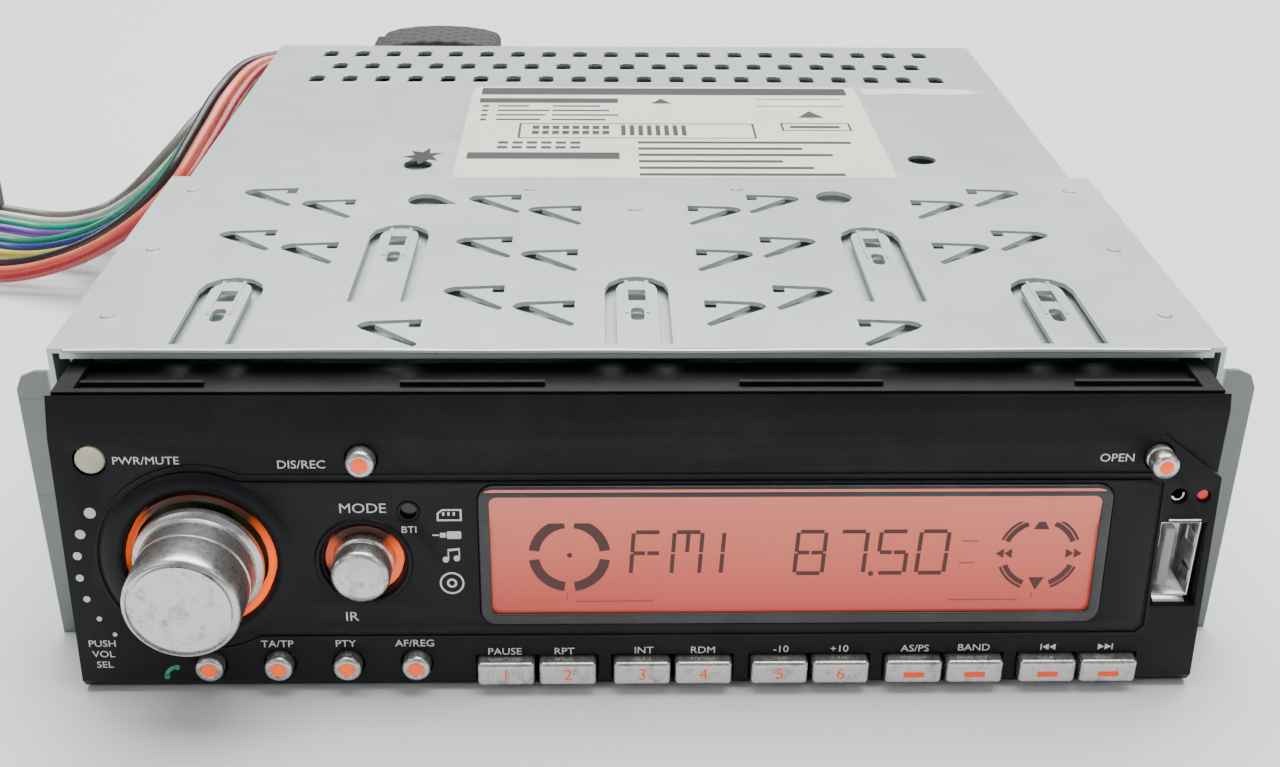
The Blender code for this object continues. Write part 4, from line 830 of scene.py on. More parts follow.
@dataclass
class Scatter:
    """Geometry Nodes that set one small shape on each of a list of points."""

    shape: Repeated
    width: float
    length: float
    height: float
    corner: float = 0.0003
    uneven: float = 0.0
    seed: int = 3

    def tree(self, material: bpy.types.Material) -> bpy.types.NodeTree:
        """Build the node tree.

        Args:
            material: finish that the tree sets.

        Returns:
            The tree, with named inputs for the sizes.
        """
        group = bpy.data.node_groups.new(f"scatter_{self.shape.value}", "GeometryNodeTree")
        face = group.interface
        face.new_socket("Geometry", in_out="INPUT", socket_type="NodeSocketGeometry")
        for label in ("Width", "Length", "Height", "Corner", "Uneven"):
            face.new_socket(label, in_out="INPUT", socket_type="NodeSocketFloat")
        face.new_socket("Geometry", in_out="OUTPUT", socket_type="NodeSocketGeometry")
        made, link = group.nodes.new, group.links.new
        start, end = made("NodeGroupInput"), made("NodeGroupOutput")
        place = made("GeometryNodeInstanceOnPoints")
        points = made("GeometryNodeMeshToPoints")
        link(start.outputs["Geometry"], points.inputs["Mesh"])
        link(points.outputs["Points"], place.inputs["Points"])
        if self.shape is Repeated.RIM:
            outline, soft = made("GeometryNodeCurvePrimitiveQuadrilateral"), made("GeometryNodeFilletCurve")
            link(start.outputs["Width"], outline.inputs["Width"])
            link(start.outputs["Length"], outline.inputs["Height"])
            soft.mode = "POLY"
            soft.inputs["Count"].default_value = 2
            link(outline.outputs["Curve"], soft.inputs["Curve"])
            link(start.outputs["Corner"], soft.inputs["Radius"])
            section, tube = made("GeometryNodeCurvePrimitiveCircle"), made("GeometryNodeCurveToMesh")
            section.inputs["Resolution"].default_value = 4
            link(start.outputs["Height"], section.inputs["Radius"])
            link(soft.outputs["Curve"], tube.inputs["Curve"])
            link(section.outputs["Curve"], tube.inputs["Profile Curve"])
            link(tube.outputs["Mesh"], place.inputs["Instance"])
        elif self.shape is Repeated.STUD:
            body = made("GeometryNodeMeshCone")
            body.inputs["Vertices"].default_value = 12
            half = made("ShaderNodeMath")
            half.operation = "MULTIPLY"
            half.inputs[1].default_value = 0.82
            link(start.outputs["Width"], half.inputs[0])
            link(half.outputs["Value"], body.inputs["Radius Top"])
            link(start.outputs["Width"], body.inputs["Radius Bottom"])
            link(start.outputs["Height"], body.inputs["Depth"])
            link(body.outputs["Mesh"], place.inputs["Instance"])
        else:
            size, cube = made("ShaderNodeCombineXYZ"), made("GeometryNodeMeshCube")
            for label, axis in (("Width", "X"), ("Length", "Y"), ("Height", "Z")):
                link(start.outputs[label], size.inputs[axis])
            link(size.outputs["Vector"], cube.inputs["Size"])
            link(cube.outputs["Mesh"], place.inputs["Instance"])
        spread, one = made("FunctionNodeRandomValue"), made("ShaderNodeMath")
        spread.data_type = "FLOAT_VECTOR"
        one.operation = "SUBTRACT"
        one.inputs[0].default_value = 1.0
        link(start.outputs["Uneven"], one.inputs[1])
        link(one.outputs["Value"], spread.inputs["Min"])
        spread.inputs["Max"].default_value = (1.0, 1.0, 1.0)
        spread.inputs["Seed"].default_value = self.seed
        link(spread.outputs["Value"], place.inputs["Scale"])
        real, paint = made("GeometryNodeRealizeInstances"), made("GeometryNodeSetMaterial")
        paint.inputs["Material"].default_value = material
        link(place.outputs["Instances"], real.inputs["Geometry"])
        link(real.outputs["Geometry"], paint.inputs["Geometry"])
        link(paint.outputs["Geometry"], end.inputs["Geometry"])
        return group

    def on(self, name: str, points: Iterable[Sequence[float]], material: bpy.types.Material,
           body: str, place: Matrix | None = None) -> Piece:
        """Set the shape on each point and make the result one plain piece.

        Args:
            name: the piece's name.
            points: where each copy stands, in the pattern's own coordinates.
            material: its finish.
            body: the body it moves with.
            place: transform from the pattern's coordinates into the model's frame.

        Returns:
            The piece.
        """
        mesh = bpy.data.meshes.new(name)
        mesh.from_pydata([tuple(point) for point in points], [], [])
        holder = bpy.data.objects.new(name, mesh)
        change = holder.modifiers.new("scatter", "NODES")
        change.node_group = self.tree(material)
        sizes = {"Width": self.width, "Length": self.length, "Height": self.height,
                 "Corner": self.corner, "Uneven": self.uneven}
        for item in change.node_group.interface.items_tree:
            if item.in_out == "INPUT" and item.name in sizes:
                change[item.identifier] = float(sizes[item.name])
        return finished(name, evaluated(holder), material, body, place)


def softened(node: str, body: str, material: bpy.types.Material, width: float,
             segments: int = 2, angle: float = 30.0, flat: bool = False) -> Piece:
    """A copy of a CAD node with its edges rounded, standing for the node.

    Args:
        node: the CAD node.
        body: the body it moves with.
        material: its finish.
        width: rounding of the edges.
        segments: steps in the rounding.
        angle: edges flatter than this many degrees stay as they are.
        flat: leave every face flat, as folded sheet is.

    Returns:
        The piece.
    """
    bm = bmesh.new()
    bm.from_mesh(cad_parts[node].data)
    bmesh.ops.remove_doubles(bm, verts=bm.verts, dist=1e-6)
    bmesh.ops.dissolve_limit(bm, angle_limit=math.radians(1.0), verts=bm.verts, edges=bm.edges)
    mesh = bpy.data.meshes.new(node)
    bm.to_mesh(mesh)
    bm.free()
    mesh.materials.clear()
    holder = bpy.data.objects.new(node, mesh)
    bevel = holder.modifiers.new("soft_edges", "BEVEL")
    bevel.width, bevel.segments, bevel.limit_method = width, segments, "ANGLE"
    bevel.angle_limit = math.radians(angle)
    bevel.use_clamp_overlap = True
    piece = finished(f"{node}_soft", evaluated(holder), material, body,
                     smooth=None if flat else 40.0)
    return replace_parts(piece, node)


# ---- the front face -----------------------------------------------------------------------------
@dataclass
class LeaningFace:
    """The panel's leaning front face, as a place to build on.

    Local x runs right, y up the face and z out of it; x and y match the model's X and Z.
    """

    ridge_drop: float = 6 * MM
    thickness: float = 9 * MM
    lean: float = 4 * MM

    def __post_init__(self) -> None:
        """Read the panel's own box."""
        low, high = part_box("panel_shell")
        self.left, self.right = low.x, high.x
        self.low_z, self.top_z = low.z, high.z - self.ridge_drop
        self.top_y = high.y - self.thickness
        self.tilt = math.atan2(self.lean, self.top_z - self.low_z)

    def y(self, z: float) -> float:
        """Y of the face at a height."""
        return self.top_y - self.lean * (self.top_z - z) / (self.top_z - self.low_z)

    def place(self, x: float = 0.0, z: float = 0.0, lift: float = 0.0) -> Matrix:
        """Frame on the face.

        Args:
            x: where its middle is across.
            z: the height of its middle.
            lift: distance in front of the face.

        Returns:
            The transform from local coordinates to the model's.
        """
        turn = Matrix.Rotation(math.pi / 2 - self.tilt, 4, "X")
        return Matrix.Translation((x, self.y(z), z)) @ turn @ Matrix.Translation((0, 0, lift))

    def sheet(self, lift: float = 0.0) -> Matrix:
        """Frame whose x and y are the model's own X and Z on the face."""
        grow = Matrix.Diagonal((1, 1 / math.cos(self.tilt), 1, 1))
        return self.place(0.0, 0.0, lift) @ grow


def facing(x: float, y: float, z: float) -> Matrix:
    """Frame at a point with local z towards the front and local y up."""
    return Matrix.Translation((x, y, z)) @ Matrix.Rotation(math.pi / 2, 4, "X")


# ---- studio -------------------------------------------------------------------------------------
@dataclass
class Studio:
    """Camera, table and soft lights."""

    station: tuple[float, float, float] = (-0.00586, -0.25357, 0.15686)
    pitch: float = 0.4735
    yaw: float = -0.0262
    roll: float = 0.0106
    lens: float = 43.55
    sensor: float = 36.0
    table_size: float = 6.0

    def build(self) -> None:
        """Make the camera, the table and the lights."""
        self.camera()
        self.table()
        self.lights()

    def camera(self) -> None:
        """Stand the camera before the panel, looking down at it."""
        data = bpy.data.cameras.new("camera")
        data.lens, data.sensor_width, data.clip_start = self.lens, self.sensor, 0.01
        obj = bpy.data.objects.new("camera", data)
        bpy.context.scene.collection.objects.link(obj)
        cos_p, sin_p = math.cos(self.pitch), math.sin(self.pitch)
        turn = Matrix.Rotation(self.yaw, 3, "Z")
        right = turn @ Vector((1, 0, 0))
        forward = turn @ Vector((0, cos_p, -sin_p))
        up = turn @ Vector((0, sin_p, cos_p))
        side = math.cos(self.roll) * right + math.sin(self.roll) * up
        top = -math.sin(self.roll) * right + math.cos(self.roll) * up
        basis = Matrix((side, top, -forward)).transposed().to_4x4()
        obj.matrix_world = Matrix.Translation(self.station) @ basis
        bpy.context.scene.camera = obj

    def table(self) -> None:
        """Lay a plain pale table that bends up far behind the radio."""
        bm = bmesh.new()
        half, steps = self.table_size / 2, 24
        rows = [(-half, 0.0), (1.2, 0.0)]
        rows += [(1.2 + 0.8 * math.sin(math.pi / 2 * i / steps),
                  0.8 - 0.8 * math.cos(math.pi / 2 * i / steps))
                 for i in range(1, steps + 1)]
        rows.append((2.0, half))
        verts = [[bm.verts.new((x, y, z)) for x in (-half, half)] for y, z in rows]
        for near, far in zip(verts, verts[1:]):
            bm.faces.new((near[0], near[1], far[1], far[0]))
        mesh = bpy.data.meshes.new("table")
        bm.to_mesh(mesh)
        bm.free()
        mesh.materials.append(Tabletop().make())
        mesh.shade_smooth()
        obj = bpy.data.objects.new("table", mesh)
        bpy.context.scene.collection.objects.link(obj)

    def lights(self) -> None:
        """Hang a large soft light overhead, a weaker one in front and a pale surround."""
        for name, place, aim, size, power in (
                ("overhead", (0.10, 0.45, 1.35), (0.0, 0.0, 0.0), 1.6, 60.0),
                ("front_left", (-0.9, -0.9, 0.95), (0.0, -0.03, 0.02), 0.8, 2.6),
                ("front_right", (0.95, -0.6, 0.7), (0.0, -0.03, 0.02), 0.6, 1.5)):
            data = bpy.data.lights.new(name, "AREA")
            data.shape, data.size, data.energy = "SQUARE", size, power
            data.color = (1.0, 0.995, 0.985)
            obj = bpy.data.objects.new(name, data)
            bpy.context.scene.collection.objects.link(obj)
            obj.location = place
            obj.rotation_euler = (Vector(aim) - Vector(place)).to_track_quat("-Z", "Y").to_euler()
        world = bpy.data.worlds.new("surround")
        world.use_nodes = True
        world.node_tree.nodes["Background"].inputs["Color"].default_value = (0.93, 0.96, 1.0, 1)
        world.node_tree.nodes["Background"].inputs["Strength"].default_value = 0.34
        bpy.context.scene.world = world


# ---- wiring -------------------------------------------------------------------------------------
@dataclass
class Wiring:
    """The pigtail: ten wires from the rear plug to two connectors.

    Each station is the bundle's middle, the step outward from wire to wire and the step from the
    top layer down to the next, in millimetres.
    """

    diameter: float = 2.4 * MM
    spacing: float = 6.4 * MM
    stations: tuple = (
        ((-66.3, 158.0, 41.4), (0.0, 3.0, 0.0), (0.0, 0.0, -3.2)),
        ((-76.0, 158.2, 41.6), (0.0, 3.0, 0.0), (0.0, 0.0, -3.2)),
        ((-87.5, 156.5, 42.0), (-1.3, 2.8, 0.0), (0.0, 0.0, -3.2)),
        ((-96.5, 147.5, 42.2), (-2.7, 1.4, 0.0), (0.0, 0.3, -3.2)),
        ((-101.8, 133.0, 39.4), (-3.0, 0.5, 0.0), (-0.8, 1.6, -2.9)),
        ((-106.5, 120.0, 33.6), (-3.0, 1.4, 0.0), (-2.0, 3.6, -2.7)),
        ((-114.0, 111.0, 25.0), (-2.4, 2.8, 0.3), (-3.4, 7.0, -2.4)),
        ((-125.5, 112.0, 16.0), (-1.4, 3.6, 0.3), (-3.0, 11.5, -1.8)),
        ((-139.0, 118.5, 7.8), (-1.0, 4.2, 0.2), (-1.5, 15.0, -1.4)),
        ((-154.5, 123.5, 3.2), (-0.6, 4.4, 0.1), (0.0, 16.5, -0.8)),
        ((-170.5, 125.5, 4.2), (0.0, 4.2, 0.0), (0.0, 16.0, 0.0)),
    )
    lanes: dict[str, tuple[int, int]] = field(default_factory=lambda: {
        "wire_dark_red": (-1, -1), "wire_salmon": (0, -1), "wire_black": (1, -1),
        "wire_yellow": (-1, 0), "wire_navy": (0, 0), "wire_green": (1, 0),
        "wire_purple": (-1, 1), "wire_light_green": (0, 1), "wire_white": (1, 1), "wire_grey": (2, 1)})
    colours: dict[str, Colour] = field(default_factory=lambda: {
        "wire_dark_red": (0.36, 0.012, 0.016), "wire_salmon": (0.86, 0.17, 0.10),
        "wire_black": (0.012, 0.012, 0.014), "wire_yellow": (0.52, 0.40, 0.05),
        "wire_navy": (0.012, 0.03, 0.21), "wire_green": (0.0, 0.26, 0.14),
        "wire_purple": (0.13, 0.04, 0.32), "wire_light_green": (0.0, 0.34, 0.19),
        "wire_white": (0.64, 0.62, 0.57), "wire_grey": (0.17, 0.17, 0.15)})
    connectors: dict[str, tuple[str, ...]] = field(default_factory=lambda: {
        "power_connector": ("wire_dark_red", "wire_salmon", "wire_black"),
        "speaker_connector": ("wire_yellow", "wire_navy", "wire_green", "wire_purple", "wire_light_green",
                              "wire_white", "wire_grey")})

    def route(self, name: str) -> list[Vector]:
        """Points at even spacing along one wire.

        Args:
            name: the wire.

        Returns:
            Its points, from the plug to the connector.
        """
        across, down = self.lanes[name]
        own = [(Vector(middle) + across * Vector(out) + down * Vector(drop)) * MM
               for middle, out, drop in self.stations]
        ends = [2 * own[0] - own[1]] + own + [2 * own[-1] - own[-2]]
        fine = []
        for a, b, c, d in zip(ends, ends[1:], ends[2:], ends[3:]):
            for step in range(24):
                t = step / 24
                fine.append(0.5 * (2 * b + (c - a) * t + (2 * a - 5 * b + 4 * c - d) * t ** 2
                                   + (3 * b - a - 3 * c + d) * t ** 3))
        fine.append(own[-1])
        total = sum((q - p).length for p, q in zip(fine, fine[1:]))
        count = max(2, round(total / self.spacing))
        made, walked, goal = [fine[0]], 0.0, total / count
        for p, q in zip(fine, fine[1:]):
            step = (q - p).length
            while walked + step >= goal and len(made) < count:
                made.append(p.lerp(q, (goal - walked) / step))
                goal += total / count
            walked += step
        made.append(fine[-1])
        return made

    def build(self, finishes: Finishes) -> list[Piece]:
        """Make each wire, and dress the connectors.

        Args:
            finishes: the radio's finishes.

        Returns:
            The wires.
        """
        wires = []
        for name in self.lanes:
            points = self.route(name)
            curve = bpy.data.curves.new(name, "CURVE")
            curve.dimensions = "3D"
            curve.bevel_depth, curve.bevel_resolution = self.diameter / 2, 4
            curve.use_fill_caps = True
            spline = curve.splines.new("POLY")
            dense = self.rounded_line(points)
            spline.points.add(len(dense) - 1)
            for point, place in zip(spline.points, dense):
                point.co = (*place, 1.0)
            spline.use_smooth = True
            curve.materials.append(WireJacket(name, self.colours[name]).make())
            wire = bpy.data.objects.new(f"{name}_jacket", curve)
            bpy.context.scene.collection.objects.link(wire)
            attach(wire, "chassis")
            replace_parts(wire, name)
            wires.append(wire)
        self.dress_connectors(finishes)
        return wires

    def rounded_line(self, points: list[Vector], steps: int = 4) -> list[Vector]:
        """A finer line through a wire's points, so that it shows no corners.

        Args:
            points: the route.
            steps: points for each stretch.

        Returns:
            The finer route.
        """
        ends = [2 * points[0] - points[1]] + points + [2 * points[-1] - points[-2]]
        fine = []
        for a, b, c, d in zip(ends, ends[1:], ends[2:], ends[3:]):
            for step in range(steps):
                t = step / steps
                fine.append(0.5 * (2 * b + (c - a) * t + (2 * a - 5 * b + 4 * c - d) * t ** 2
                                   + (3 * b - a - 3 * c + d) * t ** 3))
        fine.append(points[-1])
        return fine

    def dress_connectors(self, finishes: Finishes) -> None:
        """Give both connectors a moulded body with latch ribs and contact windows.

        Args:
            finishes: the radio's finishes.
        """
        for node in self.connectors:
            softened(node, "chassis", finishes.rubber, 0.5 * MM)
            low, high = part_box(node)
            ribs = [(low.x + 4 * MM + 2.2 * MM * i, (low.y + high.y) / 2, high.z) for i in range(6)]
            Scatter(Repeated.CHIP, 1.0 * MM, (high.y - low.y) * 0.62, 0.7 * MM).on(
                f"{node}_grip", ribs, finishes.rubber, "chassis")
            count = max(3, int((high.y - low.y) / (4.2 * MM)))
            pitch = (high.y - low.y - 4 * MM) / count
            windows = [(low.x, low.y + 2 * MM + pitch * (i + 0.5), z)
                       for i in range(count) for z in (low.z + 3.2 * MM, high.z - 3.2 * MM)]
            Scatter(Repeated.CHIP, 0.5 * MM, 2.4 * MM, 2.4 * MM).on(
                f"{node}_contacts", windows, finishes.bright, "chassis")


# ---- sleeve and chassis -------------------------------------------------------------------------
@dataclass
class MountingSleeve:
    """Slotted steel sleeve with stamped dimples."""

    dimple: float = 1.3 * MM

    def build(self, finishes: Finishes) -> list[Piece]:
        """Soften the sleeve's edges and add its dimples and tongue ribs.

        Args:
            finishes: the radio's finishes.

        Returns:
            The pieces.
        """
        sleeve = softened("mounting_sleeve", "sleeve", finishes.steel, 0.14 * MM, 1, 50.0, True)
        low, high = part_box("mounting_sleeve")
        front = low.y + 0.4 * MM
        spots = [(x * MM, front + y * MM, high.z) for x, y in (
            (-85, 12), (-85, 40), (-85, 70), (85, 12), (85, 40), (85, 70), (-20, 71), (20, 71), (0, 60))]
        dimples = Scatter(Repeated.STUD, self.dimple, self.dimple, 0.3 * MM).on(
            "sleeve_dimples", spots, finishes.steel, "sleeve")
        bars = [(x * MM + side * 1.7 * MM, front + (end - 8.5) * MM, high.z) for x, end in (
            (-67.6, 27.5), (-42.6, 52.0), (-0.4, 28.0), (42.2, 51.0), (67.6, 27.5)) for side in (-1, 1)]
        ribs = Scatter(Repeated.CHIP, 0.5 * MM, 13 * MM, 0.35 * MM).on(
            "tongue_ribs", bars, finishes.steel, "sleeve")
        edge = self.front_fold(finishes, high, front)
        return [sleeve, dimples, ribs, edge]

    def front_fold(self, finishes: Finishes, high: Vector, front: float) -> Piece:
        """Roll a bright bead along the roof's front fold.

        Args:
            finishes: the radio's finishes.
            high: the sleeve's highest corner.
            front: Y of the roof's front edge.

        Returns:
            The bead.
        """
        half, bead, steps = 88.4 * MM, 0.5 * MM, 48
        bm = bmesh.new()
        rows = []
        for i in range(steps + 1):
            x = -half + 2 * half * i / steps
            dip = 0.05 * MM * math.sin(9 * i / steps) + 0.05 * MM * math.sin(31 * i / steps)
            rows.append([bm.verts.new((x, front - 0.05 * MM + bead * math.cos(a) * 0.9,
                                       high.z - 0.52 * MM + dip + bead * math.sin(a)))
                         for a in (k * math.pi / 4 for k in range(8))])
        for near, far in zip(rows, rows[1:]):
            for k in range(8):
                bm.faces.new((near[k], near[(k + 1) % 8], far[(k + 1) % 8], far[k]))
        bm.faces.new(rows[0])
        bm.faces.new(rows[-1][::-1])
        return finished("sleeve_front_fold", bm, finishes.steel, "sleeve")


@dataclass
class Chassis:
    """Folded steel box with its vents, screws and sticker."""

    vent_pitch: float = 7.9 * MM
    vent_row_pitch: float = 11.2 * MM
    vent_rear: float = 8 * MM
    vent_size: tuple[float, float] = (3.5 * MM, 5.6 * MM)
    vent_counts: tuple[int, ...] = (20, 19, 20)
    sticker_x: tuple[float, float] = (-36.5 * MM, 54.0 * MM)
    sticker_y: tuple[float, float] = (77.0 * MM, 147.0 * MM)
    paper: float = 0.07 * MM
    screw: float = 2.6 * MM

    def build(self, finishes: Finishes) -> list[Piece]:
        """Dress the box and make its trim.

        Args:
            finishes: the radio's finishes.

        Returns:
            The pieces.
        """
        dress(finishes.steel, "disc_deck", "rear_panel")
        made = [softened("chassis_base", "chassis", finishes.cover_steel, 0.2 * MM, 1, 50.0, True),
                softened("top_cover", "chassis", finishes.cover_steel, 0.12 * MM, 1, 50.0, True)]
        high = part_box("top_cover")[1]
        made += [self.vent_rims(finishes, high), self.screws(finishes, high),
                 self.side_ribs(finishes, high)]
        return made + self.sticker(finishes, high) + self.marks(finishes, high)

    def vent_rims(self, finishes: Finishes, high: Vector) -> Piece:
        """Press a fine rim round each vent."""
        spots = []
        for row, count in enumerate(self.vent_counts):
            spots += [((column - (count - 1) / 2) * self.vent_pitch,
                       high.y - self.vent_rear - row * self.vent_row_pitch,
                       high.z) for column in range(count)]
        rim = Scatter(Repeated.RIM, self.vent_size[0] + 0.25 * MM, self.vent_size[1] + 0.25 * MM, 0.13 * MM,
                      0.9 * MM)
        return rim.on("vent_rims", spots, finishes.cover_steel, "chassis")

    def screws(self, finishes: Finishes, high: Vector) -> Piece:
        """Set cross-head screws in both sides and the rear."""
        heads = []
        for side in (-1, 1):
            turn = Matrix.Rotation(side * math.pi / 2, 4, "Y")
            for y, z in ((52, 38), (92, 38), (132, 38), (92, 16)):
                spot = Matrix.Translation((side * high.x, y * MM, z * MM))
                heads.append(placed(self.screw_head(), spot @ turn))
        for x, z in ((-84, 45), (84, 45), (-84, 6), (84, 6), (5, 45)):
            spot = Matrix.Translation((x * MM, high.y, z * MM))
            heads.append(placed(self.screw_head(), spot @ Matrix.Rotation(-math.pi / 2, 4, "X")))
        return finished("case_screws", merged(heads), finishes.bright, "chassis")

    def screw_head(self) -> bmesh.types.BMesh:
        """One pan head with a cross recess.

        Returns:
            The head, its seat at z = 0.
        """
        r = self.screw
        arm, depth = 0.24 * r, 0.3 * r
        cross = [(arm, arm), (arm, 3 * arm), (-arm, 3 * arm), (-arm, arm), (-3 * arm, arm), (-3 * arm, -arm),
                 (-arm, -arm), (-arm, -3 * arm), (arm, -3 * arm), (arm, -arm), (3 * arm, -arm),
                 (3 * arm, arm)]
        lid = slab([ring(0, 0, r * 0.86, 24), cross], depth, 0.0, 0.25 * r)
        return merged([lathe([(0, 0), (r, 0), (r, 0.22 * r), (r * 0.9, 0.42 * r), (r * 0.84, 0.25 * r),
                              (0, 0.25 * r)], 24), lid])

    def side_ribs(self, finishes: Finishes, high: Vector) -> Piece:
        """Press a long shallow rib into each side and the underside."""
        bars = [placed(brick((0.5 * MM, 70 * MM, 3.2 * MM), 0.24 * MM),
                       Matrix.Translation((s * high.x, 92 * MM, 26 * MM)))
                for s in (-1, 1)]
        bars += [placed(brick((4 * MM, 78 * MM, 0.5 * MM), 0.24 * MM),
                        Matrix.Translation((x * MM, 88 * MM, 1.7 * MM))) for x in (-50, 0, 50)]
        return finished("case_ribs", merged(bars), finishes.cover_steel, "chassis")

    def sticker(self, finishes: Finishes, high: Vector) -> list[Piece]:
        """Lay the paper label with its generic diagram and rows of plain bars.

        Args:
            finishes: the radio's finishes.
            high: the cover's highest corner.

        Returns:
            The paper, its printing and the torn strip beside it.
        """
        (x0, x1), (y0, y1) = self.sticker_x, self.sticker_y
        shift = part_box("mounting_sleeve")[0].y + 0.4 * MM
        y0, y1 = y0 + shift, y1 + shift
        lift = Matrix.Translation((0, 0, high.z + 0.01 * MM))
        ragged = [(x0, y0), (x1, y0), (x1, y1 - 1 * MM), (x1 - 1 * MM, y1), (x0 + 1 * MM, y1),
                  (x0, y1 - 1 * MM)]
        paper = finished("sticker_paper", slab([ragged], self.paper), finishes.paper, "chassis", lift)
        loops: list[Loop] = []

        def bar(x: float, y: float, width: float, height: float) -> None:
            """Add one printed bar, in millimetres from the sticker's rear left corner."""
            loops.append([(x0 + x * MM, y1 - (y + height) * MM),
                          (x0 + (x + width) * MM, y1 - (y + height) * MM),
                          (x0 + (x + width) * MM, y1 - y * MM), (x0 + x * MM, y1 - y * MM)])

        bar(2, 1.2, 86, 5.4)
        bar(2, 9.5, 32, 3.6)
        bar(2, 48.5, 32, 4.2)
        for row in range(4):
            bar(3, 15 + 3.4 * row, 1.4, 1.4)
            bar(6.5, 15 + 3.4 * row, 7 + (row * 5) % 6, 1.1)
            bar(19, 15 + 3.4 * row, 11 + (row * 7) % 5, 1.1)
        for row in range(6):
            bar(38, 41 + 4.1 * row, 46 - (row * 11) % 17, 1.5)
        for x, y, w, h in ((12, 28.5, 52, 0.5), (12, 38.5, 52, 0.5), (12, 28.5, 0.5, 10),
                           (63.5, 28.5, 0.5, 10)):
            bar(x, y, w, h)
        for column in range(8):
            bar(15 + 2.2 * column, 30.2, 1.5, 2.4)
            bar(15 + 2.2 * column, 33.8, 1.5, 2.4)
            bar(34.5 + 1.9 * column, 29.8, 1.0, 7.2)
        for column in range(6):
            bar(8 + 3.1 * column, 41.2, 2.2, 1.6)
            bar(8 + 3.1 * column, 44.4, 2.2, 1.6)
        for x, y, w, h in ((66, 9.5, 20, 0.5), (66, 15, 20, 0.5), (70, 28, 15, 0.5), (70, 33, 15, 0.5),
                           (70, 28, 0.5, 5.5), (85, 28, 0.5, 5.5), (72, 30, 11, 1.6)):
            bar(x, y, w, h)
        for cx, cy, size in ((44, 11.5, 4.0), (77.5, 21.5, 5.0)):
            tip = [(x0 + cx * MM, y1 - (cy - size / 2) * MM),
                   (x0 + (cx - size * 0.6) * MM, y1 - (cy + size / 2) * MM),
                   (x0 + (cx + size * 0.6) * MM, y1 - (cy + size / 2) * MM)]
            loops.append(tip)
        print_place = Matrix.Translation((0, 0, high.z + 0.01 * MM + self.paper))
        print_ = finished("sticker_print", merged(slab([loop], 0.02 * MM) for loop in loops),
                          finishes.label_ink, "chassis", print_place)
        torn = [(x1 + 1.5 * MM, y1 - 6 * MM), (x1 + 12 * MM, y1 - 5.2 * MM), (x1 + 22 * MM, y1 - 6.1 * MM),
                (x1 + 30 * MM, y1 - 4.6 * MM), (x1 + 27 * MM, y1 - 1.6 * MM), (x1 + 14 * MM, y1 - 0.4 * MM),
                (x1 + 6 * MM, y1 - 1.2 * MM), (x1 + 1.5 * MM, y1 - 0.6 * MM)]
        strip = finished("torn_strip", slab([torn], self.paper), finishes.paper, "chassis", lift)
        return [paper, print_, strip]

    def marks(self, finishes: Finishes, high: Vector) -> list[Piece]:
        """Lay the torn scrap of tape beside the left hole."""
        shape = [(-4.5, -6), (-1.6, -3.8), (-0.8, -6.6), (1.3, -2.6), (3.4, -3.6), (2.0, 0.2), (4.2, 2.6),
                 (1.2, 2.2),
                 (0.9, 6.4), (-0.7, 3.0), (-3.6, 4.2), (-2.3, 1.0), (-5.2, -0.6), (-2.4, -1.8)]
        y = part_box("mounting_sleeve")[0].y + 96.5 * MM
        loop = [(-43.3 * MM + 0.85 * a * MM, y + 0.8 * b * MM) for a, b in shape]
        scrap = finished("tape_scrap", slab([loop], 0.05 * MM), finishes.rubber, "chassis",
                         Matrix.Translation((0, 0, high.z + 0.01 * MM)))
        return [scrap]


